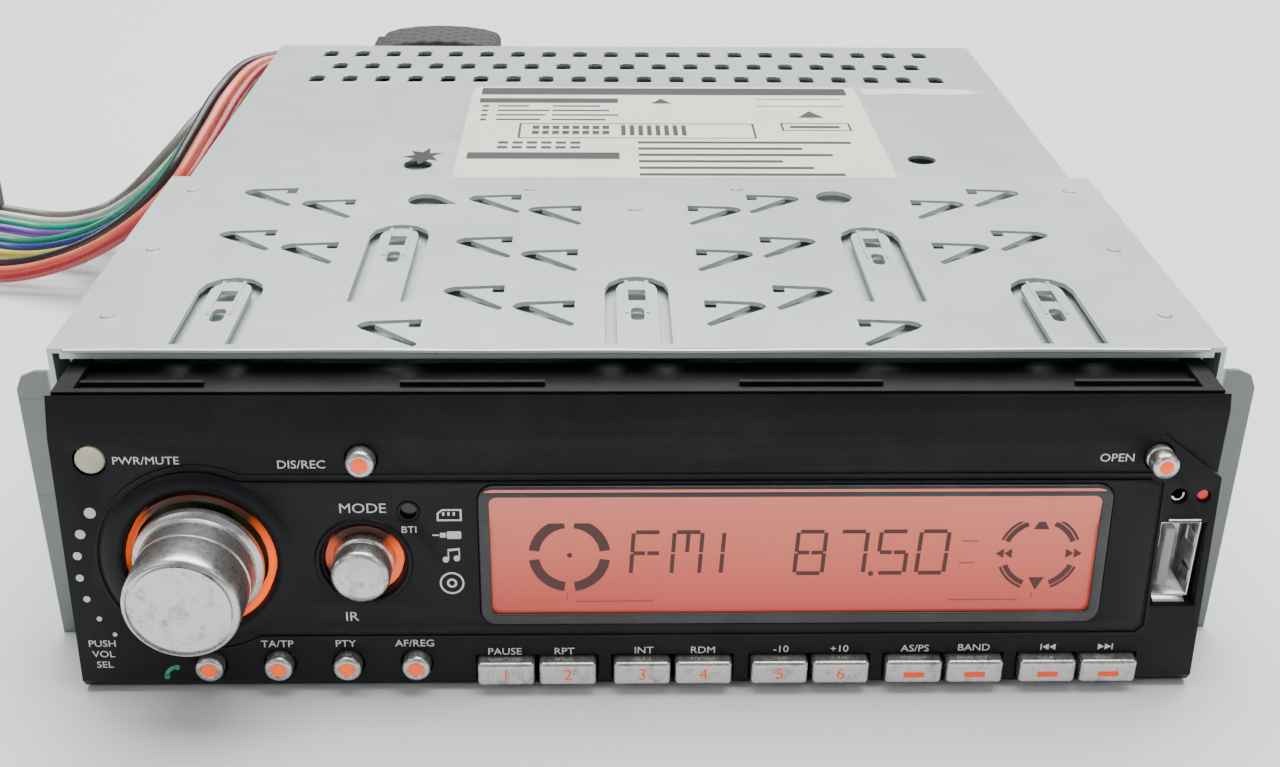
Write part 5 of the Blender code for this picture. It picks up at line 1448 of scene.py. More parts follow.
@dataclass
class RearEnd:
    """What stands on the rear panel, and the boards and drive behind the vents."""

    fuse: tuple[float, float, float] = (12 * MM, 5 * MM, 4.6 * MM)

    def build(self, finishes: Finishes) -> list[Piece]:
        """Dress the rear fittings and add their detail.

        Args:
            finishes: the radio's finishes.

        Returns:
            The pieces.
        """
        dress(finishes.black, "turntable")
        dress(finishes.rubber, "feed_roller")
        dress(finishes.grey, "laser_sled")
        dress(finishes.board, "main_board")
        dress(finishes.bright, "rear_stud")
        made = [softened("heat_sink", "chassis", finishes.aluminium, 0.2 * MM, 1, 40.0, True),
                softened("rear_socket", "chassis", finishes.black, 0.3 * MM),
                softened("antenna_socket", "chassis", finishes.bright, 0.25 * MM, 2, 40.0),
                softened("harness_plug", "chassis", finishes.braid, 1.2 * MM, 3, 40.0)]
        made += [self.stud_thread(finishes), self.fuse_holder(finishes), self.parts_on_board(finishes),
                 self.sink_screws(finishes), self.tape_collar(finishes)]
        return made

    def stud_thread(self, finishes: Finishes) -> Piece:
        """Cut a thread's rings on the rear stud."""
        low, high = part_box("rear_stud")
        x, z = (low.x + high.x) / 2, (low.z + high.z) / 2
        stations: list[tuple[float, float]] = []
        for turn in range(12):
            base = low.y + 5 * MM + turn * 0.72 * MM
            stations += [(2.42 * MM, base), (2.68 * MM, base + 0.36 * MM)]
        stations += [(2.42 * MM, low.y + 5 * MM + 12 * 0.72 * MM), (2.2 * MM, stations[-1][1])]
        stations.append((2.2 * MM, stations[0][1]))
        place = Matrix.Translation((x, 0, z)) @ Matrix.Rotation(-math.pi / 2, 4, "X")
        return finished("stud_thread", lathe(stations, 32), finishes.bright, "chassis", place, 50.0)

    def fuse_holder(self, finishes: Finishes) -> Piece:
        """Fit a blade fuse between the plug and the antenna socket."""
        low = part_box("rear_socket")[0]
        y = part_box("rear_panel")[1].y
        body = placed(brick(self.fuse, 0.5 * MM), Matrix.Translation((low.x - 9 * MM, y + 2.4 * MM, 24 * MM)))
        blade = placed(brick((7 * MM, 3 * MM, 2.4 * MM), 0.3 * MM),
                       Matrix.Translation((low.x - 9 * MM, y + 5.6 * MM, 24 * MM)))
        return finished("fuse_holder", merged([body, blade]), finishes.orange_body, "chassis")

    def parts_on_board(self, finishes: Finishes) -> Piece:
        """Stand chips and capacitors on the main board."""
        low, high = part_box("main_board")
        spots = [(low.x + 12 * MM + 12.5 * MM * i, low.y + 10 * MM + 14 * MM * j, high.z + 1.3 * MM)
                 for i in range(11) for j in range(9) if (i * 7 + j * 5) % 4]
        return Scatter(Repeated.CHIP, 7 * MM, 8 * MM, 2.8 * MM, uneven=0.6, seed=5).on(
            "board_parts", spots, finishes.black, "chassis")

    def sink_screws(self, finishes: Finishes) -> Piece:
        """Hold the heat sink with studs seen between its fins."""
        low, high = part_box("heat_sink")
        spots = [(x, z, 0.0) for x in (low.x + 7.2 * MM, high.x - 7.2 * MM) for z in (low.z + 7 * MM,
                                                                                      high.z - 7 * MM)]
        place = Matrix.Translation((0, low.y + 4.1 * MM, 0)) @ Matrix.Rotation(math.pi / 2, 4, "X") @ \
            Matrix.Diagonal((1, 1, -1, 1))
        return Scatter(Repeated.STUD, 1.35 * MM, 1.35 * MM, 1.2 * MM).on(
            "sink_screws", spots, finishes.bright, "chassis", place)

    def tape_collar(self, finishes: Finishes) -> Piece:
        """Seat a moulded collar where the wires leave the plug's hood."""
        low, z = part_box("harness_plug")[0], 41.4 * MM
        frame_loops = [rounded(0, 0, 16.4 * MM, 13.4 * MM, 2 * MM),
                       rounded(0, 0, 14.2 * MM, 11.6 * MM, 1.4 * MM)]
        place = Matrix.Translation((low.x + 0.3 * MM, 159.4 * MM, z)) @ Matrix.Rotation(-math.pi / 2, 4,
                                                                                        "Y") @ \
            Matrix.Rotation(math.pi / 2, 4, "Z")
        return finished("plug_collar", slab(frame_loops, 2.0 * MM, 0.2 * MM, -0.6 * MM), finishes.rubber,
                        "chassis", place)


# ---- nose and panel -----------------------------------------------------------------------------
@dataclass
class Nose:
    """Black plastic nose behind the panel, with a brushed disc slot."""

    def build(self, finishes: Finishes) -> list[Piece]:
        """Dress the nose and line its disc slot with felt lips.

        Args:
            finishes: the radio's finishes.

        Returns:
            The pieces.
        """
        dress(finishes.bright, "hinge_pin_left", "hinge_pin_right")
        nose = softened("front_nose", "chassis", finishes.black, 0.25 * MM, 1, 40.0, True)
        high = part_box("front_nose")[1]
        bars = [(x * 86 * MM, high.y - 5.2 * MM - 2.4 * MM, high.z - 0.8 * MM) for x in (-0.9, -0.3, 0.3,
                                                                                         0.9)]
        ribs = Scatter(Repeated.CHIP, 22 * MM, 0.8 * MM, 0.7 * MM).on("channel_ribs", bars, finishes.black,
                                                                      "chassis")
        lips = []
        for z in (35.0, 40.0):
            lips.append(placed(brick((122 * MM, 0.8 * MM, 1.0 * MM), 0.2 * MM),
                               Matrix.Translation((0, high.y - 5.4 * MM, z * MM))))
        felt = finished("slot_felt", merged(lips), finishes.rubber, "chassis")
        return [nose, ribs, felt]


@dataclass
class PanelBody:
    """The folding panel's moulding: face, raised band, dishes and bezel."""

    knob: tuple[float, float] = KNOB_CENTRE
    mode: tuple[float, float] = MODE_CENTRE
    display: tuple[float, float, float, float] = (23.5 * MM, 24.35 * MM, 96.4 * MM, 23.2 * MM)
    band_low: float = 10.9 * MM
    band_top: float = 36.9 * MM
    band_right: float = 79.0 * MM
    dish: float = 14.9 * MM
    step: float = 0.45 * MM

    def build(self, finishes: Finishes, face: LeaningFace) -> list[Piece]:
        """Build everything fixed on the face.

        Args:
            finishes: the radio's finishes.
            face: the leaning face.

        Returns:
            The pieces.
        """
        shell = softened("panel_shell", "panel", finishes.black, 0.45 * MM, 3, 25.0)
        dress(finishes.black, "panel_back")
        dress(finishes.board, "panel_board")
        dress(finishes.grey, "display_module")
        made = [shell, self.band(finishes, face), self.steps(finishes, face), self.knob_dish(finishes, face),
                self.mode_dish(finishes, face), self.bezel(finishes, face), self.contacts(finishes)]
        return made

    def band_edge(self, grow: float) -> Loop:
        """Outline of the satin band, which swells round the knob's dish.

        Args:
            grow: distance outside the band's own edge.

        Returns:
            The outline.
        """
        x0, z0 = self.knob
        low, top, right = self.band_low - grow, self.band_top + grow, self.band_right + grow
        radius = self.dish + grow
        start = math.degrees(math.asin((top - z0) / radius))
        end = 360 + math.degrees(math.asin((low - z0) / radius))
        angles = [math.radians(start + (end - start) * i / 60) for i in range(61)]
        loop = [(x0 + radius * math.cos(a), z0 + radius * math.sin(a)) for a in angles]
        corner = 1.2 * MM
        return loop + [(right - corner, low), (right, low + corner), (right, top - corner),
                       (right - corner, top)]

    def holes(self, spare: float = 0.0) -> list[Loop]:
        """Openings in the band for the knobs, the display and the eye."""
        x, z, width, height = self.display
        return [ring(*self.knob, 11.9 * MM + spare, 56), ring(*self.mode, 6.7 * MM + spare, 40),
                rounded(x, z, width + 0.9 * MM, height + 0.9 * MM, 2.6 * MM),
                ring(-35.6 * MM, 32 * MM, 1.7 * MM, 24)]

    def band(self, finishes: Finishes, face: LeaningFace) -> Piece:
        """Lay the satin band on the face."""
        return finished("satin_band", slab([self.band_edge(0.0), *self.holes()], self.step, 0.12 * MM,
                                           -0.05 * MM),
                        finishes.satin, "panel", face.sheet(), 45.0)

    def steps(self, finishes: Finishes, face: LeaningFace) -> Piece:
        """Lay the thin moulded line that follows the band's edge."""
        line = slab([self.band_edge(1.15 * MM), self.band_edge(0.65 * MM)], 0.3 * MM, 0.08 * MM, -0.05 * MM)
        return finished("band_line", line, finishes.satin, "panel", face.sheet(), 45.0)

    def knob_dish(self, finishes: Finishes, face: LeaningFace) -> Piece:
        """Turn the shallow collar round the volume knob."""
        r = 11.85 * MM
        stations = [(r, -0.3 * MM), (r, 0.55 * MM), (r + 0.5 * MM, 0.95 * MM), (r + 1.1 * MM, 1.0 * MM),
                    (r + 2.6 * MM, 0.62 * MM), (r + 3.1 * MM, 0.35 * MM), (r + 3.1 * MM, -0.3 * MM)]
        return finished("knob_dish", lathe(stations, 96), finishes.satin, "panel", face.place(*self.knob),
                        50.0)

    def mode_dish(self, finishes: Finishes, face: LeaningFace) -> Piece:
        """Turn the collar round the mode knob."""
        r = 6.6 * MM
        stations = [(r, -0.3 * MM), (r, 0.5 * MM), (r + 0.35 * MM, 0.8 * MM), (r + 0.7 * MM, 0.75 * MM),
                    (r + 1.0 * MM, 0.4 * MM), (r + 1.0 * MM, -0.3 * MM)]
        return finished("mode_dish", lathe(stations, 72), finishes.satin, "panel", face.place(*self.mode),
                        50.0)

    def bezel(self, finishes: Finishes, face: LeaningFace) -> Piece:
        """Frame the display with a smoked rounded bezel."""
        x, z, width, height = self.display
        outer = rounded(x, z, width + 0.6 * MM, height + 0.6 * MM, 2.4 * MM, 8)
        inner = rounded(x, z - 0.05 * MM, width - 2.7 * MM, height - 3.1 * MM, 1.2 * MM, 8)
        return finished("display_bezel", slab([outer, inner], 0.85 * MM, 0.22 * MM, -0.05 * MM),
                        finishes.bezel,
                        "panel", face.sheet(), 50.0)

    def contacts(self, finishes: Finishes) -> Piece:
        """Set a row of spring contacts on the panel's back plate."""
        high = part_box("panel_back")[1]
        spots = [(-40 * MM + 2 * MM * i, high.y, z * MM) for i in range(11) for z in (10.6, 13.4)]
        return Scatter(Repeated.CHIP, 1.1 * MM, 0.5 * MM, 1.8 * MM).on("panel_contacts", spots,
                                                                       finishes.bright,
                                                                       "panel")


class Pictogram(Enum):
    """Plain generic marks printed on the band, each with its height on the face in millimetres."""

    CARD = 31.4
    PLUG = 28.0
    NOTE = 24.4
    DISC = 19.7


@dataclass
class Printing:
    """White function words, volume dots and generic marks on the face."""

    capital: float = 1.5 * MM
    words: tuple = (
        ("PWR/MUTE", -74.4, 40.3, 1.25), ("DIS/REC", -51.3, 39.6, 1.3), ("MODE", -42.5, 32.5, 1.6),
        ("IR", -45.2, 13.8, 1.6), ("BTI", -35.6, 28.9, 1.1), ("PUSH", -84.6, 8.9, 1.15),
        ("VOL", -84.6, 7.0, 1.15),
        ("SEL", -84.6, 5.1, 1.15), ("TA/TP", -57.3, 8.7, 1.2), ("PTY", -46.6, 8.7, 1.2),
        ("AF/REG", -35.7, 8.7, 1.2), ("PAUSE", -21.6, 7.1, 1.2), ("RPT", -12.2, 7.1, 1.2),
        ("INT", 0.4, 7.2, 1.2),
        ("RDM", 9.8, 7.2, 1.2), ("-10", 22.2, 7.3, 1.2), ("+10", 31.5, 7.3, 1.2), ("AS/PS", 43.6, 7.3, 1.2),
        ("BAND", 53.0, 7.4, 1.2), ("OPEN", 72.0, 40.4, 1.3))
    dots: tuple = ((-83.7, 31.7, 0.9), (-85.6, 28.1, 0.78), (-86.5, 24.4, 0.68), (-86.6, 20.6, 0.6),
                   (-86.0, 16.9, 0.54), (-84.5, 13.4, 0.42), (-82.4, 10.6, 0.36))

    def build(self, finishes: Finishes, face: LeaningFace) -> list[Piece]:
        """Print the face.

        Args:
            finishes: the radio's finishes.
            face: the leaning face.

        Returns:
            The printed pieces.
        """
        on_face, on_band = [], []
        for text, x, z, size in self.words:
            raised = 10.0 < z < 37.0 and x > -80
            (on_band if raised else on_face).append(lettering(text, size * MM, x * MM, z * MM, wide=1.12))
        for x, z, radius in self.dots:
            on_face.append(slab([ring(x * MM, z * MM, radius * MM, 20)], 0.03 * MM))
        for x, flip in ((64.9, 1), (74.1, -1)):
            on_face += self.skip_mark(x, 7.5, flip)
        for mark in Pictogram:
            on_band += self.pictogram(mark)
        lift = 0.47 * MM
        return [finished("face_print", merged(on_face), finishes.white_ink, "panel", face.sheet(0.02 * MM)),
                finished("band_print", merged(on_band), finishes.white_ink, "panel", face.sheet(lift)),
                finished("handset_mark", self.handset(), finishes.green_ink, "panel", face.sheet(0.02 * MM))]

    def skip_mark(self, x: float, z: float, way: int) -> list[bmesh.types.BMesh]:
        """Two triangles and a bar for the skip keys.

        Args:
            x: middle across, in millimetres.
            z: height, in millimetres.
            way: 1 points left, -1 right.

        Returns:
            The mark's parts.
        """
        parts = []
        for shift in (0.0, 1.1):
            tip = x + way * (shift - 0.9)
            loop = [(tip * MM, z * MM), ((tip + way * 1.0) * MM, (z + 0.55) * MM),
                    ((tip + way * 1.0) * MM, (z - 0.55) * MM)]
            parts.append(slab([loop], 0.03 * MM))
        bar = x - way * 1.1
        parts.append(slab([rounded(bar * MM, z * MM, 0.22 * MM, 1.1 * MM, 0.05 * MM, 1)], 0.03 * MM))
        return parts

    def pictogram(self, mark: Pictogram) -> list[bmesh.types.BMesh]:
        """One plain mark in the column beside the display.

        Args:
            mark: which one.

        Returns:
            Its parts.
        """
        x, z, thin = -29.4, mark.value, 0.03 * MM
        if mark is Pictogram.CARD:
            outer = [(x - 1.9, z - 1.0), (x + 1.9, z - 1.0), (x + 1.9, z + 1.0), (x - 1.1, z + 1.0),
                     (x - 1.9, z + 0.3)]
            inner = [(x - 1.6, z - 0.72), (x + 1.6, z - 0.72), (x + 1.6, z + 0.72), (x - 1.0, z + 0.72),
                     (x - 1.6, z + 0.2)]
            loops = [[(a * MM, b * MM) for a, b in outer], [(a * MM, b * MM) for a, b in inner]]
            return [slab(loops, thin)] + [slab([rounded((x - 0.9 + 0.8 * i) * MM, (z + 0.2) * MM, 0.35 * MM,
                                                        0.6 * MM,
                                                        0.05 * MM, 1)], thin) for i in range(3)]
        if mark is Pictogram.PLUG:
            return [slab([rounded((x + 0.6) * MM, z * MM, 2.2 * MM, 1.3 * MM, 0.2 * MM, 2)], thin),
                    slab([rounded((x - 1.1) * MM, z * MM, 0.9 * MM, 0.8 * MM, 0.1 * MM, 2)], thin),
                    slab([rounded((x - 2.2) * MM, z * MM, 1.0 * MM, 0.22 * MM, 0.05 * MM, 1)], thin)]
        if mark is Pictogram.NOTE:
            return [slab([ring((x - 0.8) * MM, (z - 0.6) * MM, 0.5 * MM, 16)], thin),
                    slab([ring((x + 0.9) * MM, (z - 0.4) * MM, 0.5 * MM, 16)], thin),
                    slab([rounded((x - 0.38) * MM, (z + 0.2) * MM, 0.2 * MM, 1.7 * MM, 0.05 * MM, 1)], thin),
                    slab([rounded((x + 1.3) * MM, (z + 0.4) * MM, 0.2 * MM, 1.7 * MM, 0.05 * MM, 1)], thin),
                    slab([[((x - 0.48) * MM, (z + 0.8) * MM), ((x + 1.4) * MM, (z + 1.0) * MM),
                           ((x + 1.4) * MM, (z + 1.4) * MM), ((x - 0.48) * MM, (z + 1.2) * MM)]], thin)]
        return [slab([ring(x * MM, z * MM, 1.9 * MM, 36), ring(x * MM, z * MM, 1.6 * MM, 36)], thin),
                slab([ring(x * MM, z * MM, 0.8 * MM, 28), ring(x * MM, z * MM, 0.45 * MM, 28)], thin)]

    def handset(self) -> bmesh.types.BMesh:
        """A plain telephone handset."""
        x, z = -74.6 * MM, 4.1 * MM
        grip = slab([arc_band(x + 1.3 * MM, z - 1.3 * MM, 1.55 * MM, 2.15 * MM, 95, 175, 12)], 0.03 * MM)
        ends = [slab([rounded(x + dx * MM, z + dz * MM, 0.85 * MM, 0.85 * MM, 0.3 * MM, 3)], 0.03 * MM)
                for dx, dz in ((-0.5, -1.2), (1.2, 0.5))]
        return merged([grip, *ends])


@dataclass
class Display:
    """The lit window and its segment graphics."""

    x: float = 23.5 * MM
    z: float = 24.35 * MM
    digit: tuple[float, float] = (4.3 * MM, 7.2 * MM)
    stroke: float = 0.62 * MM
    lean: float = 0.06

    def build(self, finishes: Finishes, face: LeaningFace) -> list[Piece]:
        """Light the window and draw on it.

        Args:
            finishes: the radio's finishes.
            face: the leaning face.

        Returns:
            The pieces.
        """
        low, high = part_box("display_window")
        glass = DisplayGlass("lit_window", low.z + 2 * MM, high.z - 1 * MM).make()
        window = finished("lit_window", slab([rounded(self.x, self.z, 95.6 * MM, 22.4 * MM, 2 * MM)],
                                             0.5 * MM,
                                             0.1 * MM, -0.25 * MM), glass, "panel", face.sheet())
        dress(glass, "display_window")
        bold, faint = self.segments(), self.small_print()
        lift = 0.27 * MM
        return [window, finished("display_segments", merged(bold), finishes.segment_ink, "panel",
                                 face.sheet(lift)),
                finished("display_small_print", merged(faint), finishes.faint_ink, "panel", face.sheet(lift))]

    def bar(self, x: float, z: float, width: float, height: float) -> bmesh.types.BMesh:
        """One straight stroke about a point."""
        loop = [(x + a * width / 2 + self.lean * (z + b * height / 2 - self.z), z + b * height / 2)
                for a, b in ((-1, -1), (1, -1), (1, 1), (-1, 1))]
        return slab([loop], 0.03 * MM)

    def figure(self, character: str, x: float) -> list[bmesh.types.BMesh]:
        """One fourteen-segment character.

        Args:
            character: what it shows.
            x: its middle.

        Returns:
            Its strokes.
        """
        width, height = self.digit
        z, s = self.z + 0.3 * MM, self.stroke
        half, gap = height / 2, 0.35 * MM
        places = {
            "a": (x, z + half, width - 2 * gap, s), "d": (x, z - half, width - 2 * gap, s),
            "g": (x - width / 4, z, width / 2 - gap, s), "h": (x + width / 4, z, width / 2 - gap, s),
            "f": (x - width / 2, z + half / 2, s, half - gap),
            "e": (x - width / 2, z - half / 2, s, half - gap),
            "b": (x + width / 2, z + half / 2, s, half - gap),
            "c": (x + width / 2, z - half / 2, s, half - gap),
            "v": (x, z + half / 2, s, half - gap), "w": (x, z - half / 2, s, half - gap)}
        lit = {"F": "afegh", "M": "afebcv", "1": "vw", "8": "abcdefgh", "7": "abc", "5": "afghcd",
               "0": "abcdef"}[character]
        return [self.bar(*places[key]) for key in lit]

    def segments(self) -> list[bmesh.types.BMesh]:
        """The frequency, the band and the two ring graphics."""
        parts = []
        for character, x in (("F", 0.6), ("M", 6.9), ("1", 12.4), ("8", 26.0), ("7", 32.4), ("5", 38.8),
                             ("0", 45.0)):
            parts += self.figure(character, x * MM)
        parts.append(slab([ring(35.6 * MM, self.z - 3.4 * MM, 0.42 * MM, 12)], 0.03 * MM))
        left, right = -11.2 * MM, 61.6 * MM
        for start in (8, 98, 188, 278):
            parts.append(slab([arc_band(left, self.z, 4.7 * MM, 6.3 * MM, start, start + 74, 16)], 0.03 * MM))
        parts.append(slab([ring(left, self.z, 0.4 * MM, 14)], 0.03 * MM))
        for start in (22, 112, 202, 292):
            parts.append(slab([arc_band(right, self.z, 5.1 * MM, 5.9 * MM, start, start + 46, 12)],
                              0.03 * MM))
            parts.append(slab([arc_band(right, self.z, 6.1 * MM, 6.5 * MM, start, start + 46, 12)],
                              0.03 * MM))
        for way in (-1, 1):
            loop = [(right - 1.2 * MM, self.z + way * 4.2 * MM), (right + 1.2 * MM, self.z + way * 4.2 * MM),
                    (right, self.z + way * 6.4 * MM)]
            parts.append(slab([loop], 0.03 * MM))
            for shift in (0.0, 1.3):
                tip = right + way * (5.4 + shift) * MM
                loop = [(tip - way * 1.2 * MM, self.z - 0.8 * MM), (tip - way * 1.2 * MM, self.z + 0.8 * MM),
                        (tip, self.z)]
                parts.append(slab([loop], 0.03 * MM))
        return parts

    def small_print(self) -> list[bmesh.types.BMesh]:
        """Thin lines that join the rings to the middle, and the two small words."""
        parts = [lettering("AF", 1.15 * MM, 28.2 * MM, self.z + 7.0 * MM),
                 lettering("EON", 1.15 * MM, 40.6 * MM, self.z + 7.0 * MM)]
        thin = 0.16 * MM
        for x, z, width, height in ((-11.2, 7.4, 0, 1.6), (-11.2, -7.2, 0, 1.2), (61.6, 7.6, 0, 1.2),
                                    (61.6, -7.4, 0, 1.2),
                                    (-3.6, -8.1, 12.0, 0), (54.0, -8.1, 11.0, 0), (-4.0, 8.2, 11.4, 0),
                                    (50.6, 2.2, 2.4, 0),
                                    (50.6, -1.6, 2.4, 0)):
            parts.append(self.bar(x * MM, self.z + z * MM, max(width * MM, thin), max(height * MM, thin)))
        return parts


# ---- controls -----------------------------------------------------------------------------------
@dataclass
class Knobs:
    """Volume knob and mode knob: turned, stepped and grooved."""

    def build(self, finishes: Finishes, face: LeaningFace) -> list[Piece]:
        """Turn both knobs and light their rings.

        Args:
            finishes: the radio's finishes.
            face: the leaning face.

        Returns:
            The pieces.
        """
        dress(finishes.bright, "volume_shaft")
        dress(LightGuide("knob_ring_light", centre=KNOB_CENTRE, bright_at=-0.35).make(), "knob_light_ring")
        dress(LightGuide("mode_ring_light", centre=MODE_CENTRE, bright_at=-0.25).make(), "mode_light_ring")
        return [self.volume(finishes), self.mode(finishes), self.glow(face)]

    def volume(self, finishes: Finishes) -> Piece:
        """Turn the volume knob over its CAD solid."""
        low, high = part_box("volume_knob")
        x, z, back, front = (low.x + high.x) / 2, (low.z + high.z) / 2, high.y, low.y
        reach = back - front
        big, barrel, cap = (high.x - low.x) / 2, 8.95 * MM, 8.75 * MM
        m = MM
        stations = [(3.2 * m, 0.0), (big - 0.9 * m, 0.0), (big - 0.15 * m, 0.5 * m), (big, 1.0 * m),
                    (big - 0.1 * m, 1.7 * m),
                    (big - 0.6 * m, 2.1 * m), (big - 1.0 * m, 2.2 * m), (big - 1.1 * m, 2.5 * m),
                    (barrel + 0.05 * m, 2.9 * m),
                    (barrel, 3.2 * m), (barrel - 0.08 * m, 6.0 * m), (barrel - 0.35 * m, 6.15 * m),
                    (barrel - 0.35 * m, 6.5 * m), (barrel - 0.1 * m, 6.65 * m),
                    (cap + 0.05 * m, reach - 2.4 * m),
                    (cap, reach - 1.1 * m), (cap - 0.12 * m, reach - 0.6 * m),
                    (cap - 0.45 * m, reach - 0.2 * m),
                    (cap - 0.75 * m, reach - 0.1 * m), (cap - 0.85 * m, reach - 0.6 * m),
                    (cap - 1.2 * m, reach - 0.6 * m),
                    (cap - 1.3 * m, reach - 0.2 * m), (0.0, reach - 0.24 * m)]
        bore = [(0.0, reach - 2.4 * m), (3.2 * m, reach - 2.4 * m)]
        knob = finished("volume_knob_turned", lathe([*bore, *stations], 96), finishes.silver, "volume_knob",
                        facing(x, back, z), 40.0)
        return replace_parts(knob, "volume_knob")

    def mode(self, finishes: Finishes) -> Piece:
        """Turn the mode knob's cap over its button."""
        low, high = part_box("mode_button")
        x, z, radius = -42.8 * MM, 23.4 * MM, 4.6 * MM
        m = MM
        stations = [(0.0, 0.0), (1.2 * m, 0.0)]
        length = high.y - low.y
        collar = length - 8.0 * m
        stations += [(1.2 * m, collar), (radius + 0.6 * m, collar), (radius + 0.6 * m, collar + 0.6 * m),
                     (radius, collar + 0.7 * m),
                     (radius, length - 4.1 * m), (radius - 0.3 * m, length - 3.8 * m),
                     (radius - 0.3 * m, length - 3.4 * m),
                     (radius - 0.05 * m, length - 3.1 * m), (radius - 0.1 * m, length - 0.8 * m),
                     (radius - 0.3 * m, length - 0.25 * m), (radius - 0.7 * m, length),
                     (radius - 0.9 * m, length - 0.08 * m),
                     (radius - 1.2 * m, length - 0.2 * m), (0.0, length - 0.24 * m)]
        cap = finished("mode_knob_turned", lathe(stations, 72), finishes.silver, "mode_button",
                       facing(x, high.y, z), 40.0)
        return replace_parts(cap, "mode_button")

    def glow(self, face: LeaningFace) -> Piece:
        """Lay a thin lit lip over the volume knob's light ring."""
        material = LightGuide("lit_lip", centre=KNOB_CENTRE, bright_at=-0.35, strength=1.9).make()
        lip = lathe([(10.55 * MM, -0.45 * MM), (10.6 * MM, 0.1 * MM), (11.0 * MM, 0.35 * MM),
                     (11.35 * MM, 0.1 * MM), (11.35 * MM, -0.45 * MM)], 72)
        return finished("knob_lit_lip", lip, material, "panel", face.place(*KNOB_CENTRE), 60.0)


